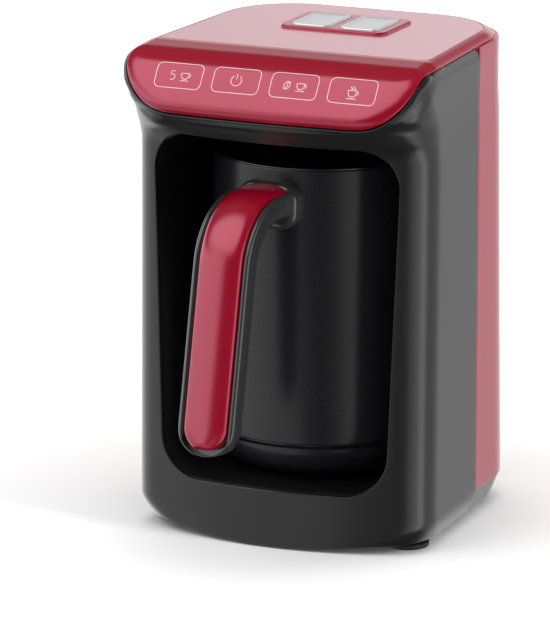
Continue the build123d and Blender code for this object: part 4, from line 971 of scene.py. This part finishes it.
# Satin metallic paint: fine aluminium flakes under a matt coat, so it shows a broad soft sheen.
satin_silver = grained("satin_silver_paint", "#cdd0d1", "#d8dadb", 0.3, 0.05, 0.25, 0.002, {"Metallic": 0.5})
cap_w = 22.0
cap_l = 33.0
cap_r = 3.6
cap_x = 13.8
cap_top = 260.5
cap_t = 4.0
cap_edge = 0.9
cap_low = cap_top - cap_t
# Insets and depths of the rings that dish the cap's top.
cap_dish = ((1.4, 0.0), (1.9, 0.06), (2.6, 0.28), (3.2, 0.36), (6.0, 0.42), (9.0, 0.45))
# Radii and heights of the stem, with the collar that snaps under the tray.
stem_profile = ((2.0, cap_low + 0.1), (2.0, 249.7), (2.7, 249.7), (2.7, 248.7), (2.0, 248.7), (2.0, 247.2))


def cap_ring(x, inset, z):
    """Outline of the cap whose middle is at x, at a height, moved inward by inset."""
    flat = pad_line(x, tray_y, cap_w / 2 - inset, cap_l / 2 - inset, max(cap_r - inset, 0.4), 10)
    return np.column_stack([flat, np.full(len(flat), z)])


def button(body, x):
    """Cap with its stem."""
    rows = [cap_ring(x, 1.2, cap_low), cap_ring(x, 0.0, cap_low)]
    rows += [cap_ring(x, inset, cap_top - drop) for inset, drop in edge_round(cap_edge)]
    rows += [cap_ring(x, inset, cap_top - dish) for inset, dish in cap_dish]
    skin = rows_to_mesh(body + "_cap", rows, satin_silver, caps=True)
    turn = np.linspace(0.0, 2 * math.pi, 32, endpoint=False)
    stem_rows = [[(x + r * math.cos(a), tray_y + r * math.sin(a), z) for a in turn] for r, z in stem_profile]
    return joined(body + "_cap", [skin, rows_to_mesh(body + "_stem", stem_rows, satin_silver, caps=True)])


for body, x in (("button_left", -cap_x), ("button_right", cap_x)):
    cap = button(body, x)
    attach(cap, body)
    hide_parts(body)


def coil_spring():
    """Geometry Nodes tree: round wire swept along a helix that stands at a given place."""
    tree, given = growth("coil_spring", {
        "Turns": "Float", "Coil Radius": "Float", "Rise": "Float", "Wire Radius": "Float", "Foot": "Vector",
        "Finish": "Material"})
    helix = put(tree, "GeometryNodeCurveSpiral",
                {"Resolution": 32, "Rotations": given["Turns"], "Start Radius": given["Coil Radius"],
                 "End Radius": given["Coil Radius"], "Height": given["Rise"]})
    wire = put(tree, "GeometryNodeCurvePrimitiveCircle", {"Resolution": 10, "Radius": given["Wire Radius"]})
    coiled = put(tree, "GeometryNodeCurveToMesh",
                 {"Curve": helix.outputs[0], "Profile Curve": wire.outputs[0], "Fill Caps": True})
    stood = put(tree, "GeometryNodeTransform", {"Geometry": coiled.outputs[0], "Translation": given["Foot"]})
    return ended(tree, stood.outputs[0], given["Finish"])


# Cold-drawn spring wire: bright round steel with fine die lines.
spring_wire = grained("drawn_spring_steel", "#7c7f82", "#909396", 0.3, 0.06, 0.2, 0.003, {"Metallic": 1.0})
coil = coil_spring()
coil_r = 3.6 * MM
wire_r = 0.35 * MM
for side in ("left", "right"):
    spring_low, spring_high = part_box("button_spring_" + side)
    middle_x = (spring_low.x + spring_high.x) / 2.0
    spring_h = spring_high.z - spring_low.z
    spring_foot = (middle_x, pot_y + tray_y * MM, spring_low.z + wire_r)
    spring = added("return_spring_" + side, bpy.data.meshes.new("return_spring_" + side))
    grown(spring, coil, {"Turns": 4.0, "Coil Radius": coil_r, "Rise": spring_h - 2.0 * wire_r,
                         "Wire Radius": wire_r, "Foot": spring_foot, "Finish": spring_wire})
    spring.data.polygons.foreach_set("use_smooth", [True] * len(spring.data.polygons))
    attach(spring, "machine")
    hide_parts("button_spring_" + side)
    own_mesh(spring)

# ---- Pot
# A spun steel cup hangs in a double-walled body of black polypropylene; the base cap closes it from below
# and holds the heating plate, its element, the thermostat and the plug.
# Satin polypropylene: black with a soft, slightly waxy sheen.
pot_pp = grained("satin_black_polypropylene", "#17171a", "#1c1c1f", 0.27, 0.03, 0.4, 0.002, {"IOR": 1.49})
seam_z = 52.5
rim_z = 198.8
r_seam = 61.0
r_rim = 58.5
under_z = 32.0
cap_round = 20.0
pot_wall = 2.4
base_wall = 2.2
seam_gap = 0.06


def bend(cx, cz, r, a0, a1, steps=6):
    """Arc of a profile, as a list of points."""
    return [tuple(point) for point in turned(cx, cz, r, a0, a1, steps)]


shell_profile = [(r_seam - 0.5, seam_z + seam_gap)] + bend(r_seam - 0.5, seam_z + 0.56, 0.5, -80, 0, 4)
shell_profile += [(r_seam + (r_rim - r_seam) * t, seam_z + 0.6 + (rim_z - 2.4 - seam_z) * t)
                  for t in np.linspace(0.05, 1.0, 14)]
shell_profile += bend(r_rim - 1.2, rim_z - 1.2, 1.2, 0, 180, 10)
shell_profile += [(r_rim - pot_wall + (r_seam - r_rim) * t, rim_z - 1.6 - (rim_z - 1.6 - seam_z) * t)
                  for t in (0.3, 0.6, 1.0)]
pot_shell = revolved("pot_shell_body", shell_profile, pot_pp)
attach(pot_shell, "pot")
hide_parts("pot_shell")

base_profile = [(0.6, under_z)] + bend(r_seam - cap_round, under_z + cap_round, cap_round, -90, 0, 16)
base_profile += bend(r_seam - 0.55, seam_z - 0.61, 0.55, 0, 80, 4)
base_profile += [(46.0, seam_z - seam_gap), (46.0, seam_z - 2.0), (r_seam - pot_wall, seam_z - 2.0)]
base_profile += bend(r_seam - cap_round, under_z + cap_round, cap_round - base_wall, 0, -90, 10)
base_profile += [(0.6, under_z + base_wall)]
base_cap = revolved("pot_base_cap", base_profile, pot_pp)
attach(base_cap, "pot")
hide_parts("pot_base")

# Steel: fine rings from the polishing wheel. Silicone: milky and matt. Cast aluminium: a frosted grain.
# The heater's steel tube is browned by heat, and the thermostat's nickel plating is faintly warm.
pot_finishes = {
    "pot_cup": ("spun_stainless_steel", "#8d9092", "#9b9ea0", 0.26, 0.05, 0.35, 0.003, {"Metallic": 1.0}),
    "pot_seal": ("moulded_silicone", "#b9b4ab", "#c6c1b8", 0.55, 0.05, 0.5, 0.004, {"IOR": 1.43}),
    "heating_plate": ("cast_aluminium", "#a4a6a8", "#b4b6b8", 0.42, 0.08, 0.9, 0.02, {"Metallic": 1.0}),
    "heating_element": ("oxidised_steel_tube", "#4a4744", "#5b5753", 0.45, 0.08, 0.7, 0.01,
                        {"Metallic": 1.0}),
    "thermostat": ("nickel_plated_brass", "#a59f90", "#b5afa0", 0.3, 0.06, 0.5, 0.004, {"Metallic": 1.0}),
}
for node, finish in pot_finishes.items():
    dress(node, grained(*finish))
dress("handle_screws", screw_steel)

# ---- Handle
# A glossy dark frame springs from a boss on the pot and carries a crimson pearl insert on its outer face.
# The insert is a crowned strip clipped into the frame's channel, with a fine open line all round it.
turn_in = math.radians(-4.2)
axis_out = np.array([math.sin(turn_in), -math.cos(turn_in), 0.0])
axis_side = np.array([math.cos(turn_in), math.sin(turn_in), 0.0])
# Reach from the pot's axis and height of the grip's ends; the arm is level and meets it in a bend.
grip_high = np.array([116.2, 163.0])
grip_low = np.array([136.2, 63.0])
arm_z = 191.5
bend_mm = 40.0
root_mm = 55.0
frame_depth = 17.6
frame_half = 16.0
frame_end_r = 15.0
frame_back_r = 6.5
rim_front = 3.3
rim_r = 1.75
channel_gap = 0.3
channel_depth = 8.0
insert_half = 12.5
insert_end_r = 11.7
insert_fall = 4.6
end_rim = 3.3
thinnest = 0.02


def crown_path():
    """Points of the handle's outer middle line, as reach from the pot's axis and height, with tangents."""
    down = (grip_low - grip_high) / np.linalg.norm(grip_low - grip_high)
    corner_at = grip_high + down * ((arm_z - grip_high[1]) / down[1])
    half = math.acos(-down[0])
    arm_end = corner_at - [bend_mm / math.tan(half / 2.0), 0.0]
    centre = arm_end - [0.0, bend_mm]
    arm = [(root_mm + (arm_end[0] - root_mm) * t, arm_z) for t in np.linspace(0.0, 1.0, 14)[:-1]]
    arc = [(centre[0] + bend_mm * math.sin(a), centre[1] + bend_mm * math.cos(a))
           for a in np.linspace(0.0, math.pi - half, 34)]
    start = np.array(arc[-1])
    fine_end = 1.0 - 0.2 * np.cos(np.linspace(0.0, math.pi / 2, 60))
    grip = [tuple(start + (grip_low - start) * t)
            for t in np.concatenate([np.linspace(0.0, 0.8, 24)[1:], fine_end[1:]])]
    points = np.array(arm + arc + grip)
    tangent = np.gradient(points, axis=0)
    return points, tangent / np.linalg.norm(tangent, axis=1, keepdims=True)


crown, tangents = crown_path()
walked = np.concatenate([[0.0], np.cumsum(np.linalg.norm(np.diff(crown, axis=0), axis=1))])
left_over = walked[-1] - walked
crown_in = np.stack([tangents[:, 1], -tangents[:, 0]], axis=1)


def placed(k, across, depth):
    """Point of the handle at station k: across the handle, and depth below its crown."""
    r, z = crown[k] + crown_in[k] * depth
    return axis_out * r + axis_side * across + np.array([0.0, 0.0, z])


def swell(t):
    """Height of a quarter circle at t, from 0 at t = 0 to 1 at t = 1."""
    return math.sqrt(max(1.0 - (1.0 - min(max(t, 0.0), 1.0)) ** 2, 0.0))


def end_width(half, left, corner):
    """Half width near the lower end, whose corners are round seen from the front."""
    return half if left >= corner else half - corner + math.sqrt(max(corner**2 - (corner - left) ** 2, 0.0))


def bar_section(k):
    """Section of the frame at station k: a rounded rim each side of the channel, and a rounded back."""
    half = max(end_width(frame_half, left_over[k], frame_end_r), thinnest)
    back_depth = frame_depth - 6.0 + 6.0 * swell(left_over[k] / 6.0)
    channel = max(min(insert_half + channel_gap, half - 1.2), 0.01)
    rim_half = min((half - channel) / 2.0, rim_r)
    back_r = min(frame_back_r, half * 0.9)
    section = [(0.0, channel_depth), (-channel, channel_depth), (-channel, rim_front + rim_half)]
    section += [(-channel - rim_half * (1 - math.cos(a)), rim_front + rim_half * (1 - math.sin(a)))
                for a in np.linspace(0.2, math.pi, 10)]
    section += [(-half + back_r * (1 - math.cos(a)), back_depth - back_r * (1 - math.sin(a)))
                for a in np.linspace(0, math.pi / 2, 9)]
    section += [(0.0, back_depth)]
    return section + [(-x, d) for x, d in section[-2:0:-1]]


def insert_section(k):
    """Section of the insert at station k: a crowned strip whose edges roll down into the frame."""
    left = left_over[k] - end_rim
    half = max(end_width(insert_half, left, insert_end_r), thinnest)
    end_fall = insert_fall * (1.0 - swell(left / 4.0))
    section = []
    for t in np.linspace(-1.0, 1.0, 31):
        x = math.sin(t * math.pi / 2)
        bow = 0.42 * x * x + 0.58 * (1.0 - math.sqrt(max(1.0 - x**8, 0.0)))
        section.append((half * x, max(insert_fall * bow, end_fall)))
    return section + [(half, 7.5), (0.0, 7.6), (-half, 7.5)]


def swept(name, make, first, last, material):
    """The section that make gives, swept from the first station to the last."""
    rows = [[placed(k, x, d) for x, d in make(k)] for k in range(first, last + 1)]
    return rows_to_mesh(name, rows, material, caps=True)


boss_w = 35.0
boss_h = 25.0
boss_r = 10.0
boss_round = 3.5
boss_reach = 65.5


def boss_ring(reach, inset):
    """Outline of the boss at a distance from the pot's axis."""
    middle_z = arm_z + 0.8 - boss_h / 2.0
    flat = pad_line(0.0, middle_z, boss_w / 2 - inset, boss_h / 2 - inset, boss_r - inset, 12)
    return [axis_out * reach + axis_side * x + np.array([0.0, 0.0, z]) for x, z in flat]


# Polished ABS: dark grey under a thin hard coat, so its rims carry sharp light lines.
handle_abs = grained("polished_dark_abs", "#2b2b2c", "#323233", 0.16, 0.03, 0.4, 0.001,
                     {"IOR": 1.5, "Coat Weight": 0.4, "Coat Roughness": 0.05})
bar = swept("handle_bar", bar_section, 0, len(crown) - 1, handle_abs)
boss_rows = [boss_ring(root_mm, 0.0), boss_ring(boss_reach - boss_round, 0.0)]
boss_rows += [boss_ring(boss_reach - drop, inset) for drop, inset in edge_round(boss_round, 0.2, 7)[::-1]]
combined(bar, rows_to_mesh("handle_boss", boss_rows, handle_abs, caps=True), "UNION")
bar.data.set_sharp_from_angle(angle=sharp_angle)
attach(bar, "pot")
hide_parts("handle_frame")

last_insert = int(np.argmax(left_over < end_rim + thinnest)) - 1
insert = swept("handle_insert_strip", insert_section, 1, last_insert, crimson)
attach(insert, "pot")
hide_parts("handle_insert")

# ---- Floor and light
# A white sweep with a painted glow lies under and behind the machine, and four softboxes light it evenly
# from round about.
# What the gloss shows is set apart: pale panels at the left, at the rear and high in front, dark between.
floor_half = 3.0
plain_white = (1.0, 1.0, 1.0, 1.0)
floor_mesh = bpy.data.meshes.new("studio_floor")
floor_corners = [(sx * floor_half, sy * floor_half, 0.0) for sx, sy in ((-1, -1), (1, -1), (1, 1), (-1, 1))]
floor_mesh.from_pydata(floor_corners, [], [(0, 1, 2, 3)])
floor = added("studio_floor", floor_mesh)
floor.visible_glossy = False


def eased_to(tree, value, start, end, first, last):
    """The value's smooth step from first to last as it goes from start to end."""
    step = put(tree, "ShaderNodeMapRange",
               {"Value": value, "From Min": start, "From Max": end, "To Min": first, "To Max": last},
               interpolation_type="SMOOTHSTEP")
    return step.outputs["Result"]


# Matt white sweep paint with a painted glow: the camera sees it glow more with distance from the machine, so
# it is left darker near the base, a painted shade, and turns plain white further out.
floor_paint = bpy.data.materials.new("studio_floor_paint")
paint = cleared(floor_paint)
paint_rays = put(paint, "ShaderNodeLightPath")
matt = put(paint, "ShaderNodeBsdfDiffuse", {"Color": plain_white})
from_middle = put(paint, "ShaderNodeTexCoord")
far_off = put(paint, "ShaderNodeVectorMath", {0: from_middle.outputs["Object"]}, operation="LENGTH")
# Painted glow: none within 0.17 m of the middle and full by 0.5 m, so the floor near the base stays darker,
# a painted shade.
painted_glow_far_out = eased_to(paint, far_off.outputs["Value"], 0.17, 0.5, 0.0, 0.6)
glow = put(paint, "ShaderNodeEmission", {"Color": plain_white, "Strength": painted_glow_far_out})
paint_with_painted_glow = put(paint, "ShaderNodeAddShader", {0: matt.outputs[0], 1: glow.outputs[0]})
shown_paint = put(paint, "ShaderNodeMixShader",
                  {"Fac": paint_rays.outputs["Is Camera Ray"], 1: matt.outputs[0], 2: paint_with_painted_glow.outputs[0]})
put(paint, "ShaderNodeOutputMaterial", {"Surface": shown_paint.outputs[0]})
floor_mesh.materials.append(floor_paint)

world = bpy.data.worlds.new("studio_room")
room = cleared(world)
rays = put(room, "ShaderNodeLightPath")
toward = put(room, "ShaderNodeTexCoord").outputs["Generated"]
toward_z = put(room, "ShaderNodeSeparateXYZ", {"Vector": toward}).outputs["Z"]


def maths(operation, a, b):
    """Result of a sum on two values of the room."""
    return put(room, "ShaderNodeMath", {0: a, 1: b}, operation=operation).outputs[0]


def panel(bearing_deg, height_deg, edge_deg, full_deg, strength):
    """Soft round panel of the room, towards a bearing from the machine's front and a height."""
    a, e = math.radians(bearing_deg), math.radians(height_deg)
    axis = (math.sin(a) * math.cos(e), -math.cos(a) * math.cos(e), math.sin(e))
    near = put(room, "ShaderNodeVectorMath", {0: toward, 1: axis}, operation="DOT_PRODUCT")
    edge = math.cos(math.radians(edge_deg))
    full = math.cos(math.radians(full_deg))
    return eased_to(room, near.outputs["Value"], edge, full, 0.0, strength)


def backdrop(strength):
    """White light of the room, of one strength."""
    return put(room, "ShaderNodeBackground", {"Color": plain_white, "Strength": strength}).outputs[0]


# Above the horizon the gloss shows three low panels, cut off softly at the top, a high one and a faint rest.
low_panels = maths("ADD", panel(156, 5, 75, 35, 1.0), panel(-85, 8, 68, 57, 1.9))
low_panels = maths("ADD", low_panels, panel(84, 5, 34, 10, 1.6))
low_panels = maths("MULTIPLY", low_panels, eased_to(room, toward_z, 0.25, 0.4, 1.0, 0.06))
room_high = maths("ADD", maths("ADD", low_panels, panel(-36, 50, 37, 19, 2.3)), 0.03)
# Below it the gloss shows the floor, by bearing: the gradient is 0 at the left and turns by the front.
around_room = put(room, "ShaderNodeTexGradient", {"Vector": toward}, gradient_type="RADIAL")
floor_tones = put(room, "ShaderNodeValToRGB", {"Fac": around_room.outputs["Fac"]})
floor_tones.color_ramp.interpolation = "EASE"
tones = ((-90, 0.42), (-63, 0.34), (-24, 0.25), (-8, 0.24), (8, 0.06), (20, 0.02), (34, 0.07), (50, 0.28),
         (66, 0.45), (86, 0.9), (104, 0.27), (130, 0.24), (156, 0.26), (200, 0.3), (240, 0.55), (270, 0.42))
stops = floor_tones.color_ramp.elements
for place, (bearing_deg, tone) in enumerate(tones):
    at = (bearing_deg + 90.0) / 360.0
    stop = stops[place] if place < 2 else stops.new(at)
    stop.position = at
    stop.color = (tone, tone, tone, 1.0)
room_low = maths("MULTIPLY", floor_tones.outputs["Color"], eased_to(room, toward_z, -0.86, -0.62, 0.03, 3.0))
above = eased_to(room, toward_z, -0.1, 0.06, 0.0, 1.0)
in_gloss = put(room, "ShaderNodeMix", {0: above, 2: room_low, 3: room_high}, data_type="FLOAT").outputs[0]
lit = put(room, "ShaderNodeMixShader",
          {"Fac": rays.outputs["Is Glossy Ray"], 1: backdrop(0.45), 2: backdrop(in_gloss)})
straight = maths("MAXIMUM", rays.outputs["Is Camera Ray"], rays.outputs["Is Transmission Ray"])
shown = put(room, "ShaderNodeMixShader", {"Fac": straight, 1: lit.outputs[0], 2: backdrop(1.0)})
put(room, "ShaderNodeOutputWorld", {"Surface": shown.outputs[0]})
bpy.context.scene.world = world


def softbox(name, place, size, watts):
    """Rectangular lamp that faces the machine's middle."""
    data = bpy.data.lights.new(name, "AREA")
    data.shape = "RECTANGLE"
    data.size, data.size_y = size
    data.energy = watts
    lamp = added(name, data)
    lamp.location = place
    lamp.rotation_mode = "QUATERNION"
    lamp.rotation_quaternion = (Vector((0.0, 0.0, 0.12)) - Vector(place)).to_track_quat("-Z", "Y")
    lamp.visible_camera = False
    lamp.visible_glossy = False


softbox("top_softbox", (0.0, 0.1, 1.5), (1.6, 1.6), 14.0)
softbox("key_softbox", (-0.62, -0.95, 1.20), (0.9, 0.9), 5.5)
softbox("left_softbox", (-1.4, -0.75, 0.45), (0.9, 1.3), 4.5)
softbox("right_softbox", (1.5, -0.15, 0.5), (0.35, 1.4), 15.0)
bpy.context.scene.view_settings.view_transform = "Standard"
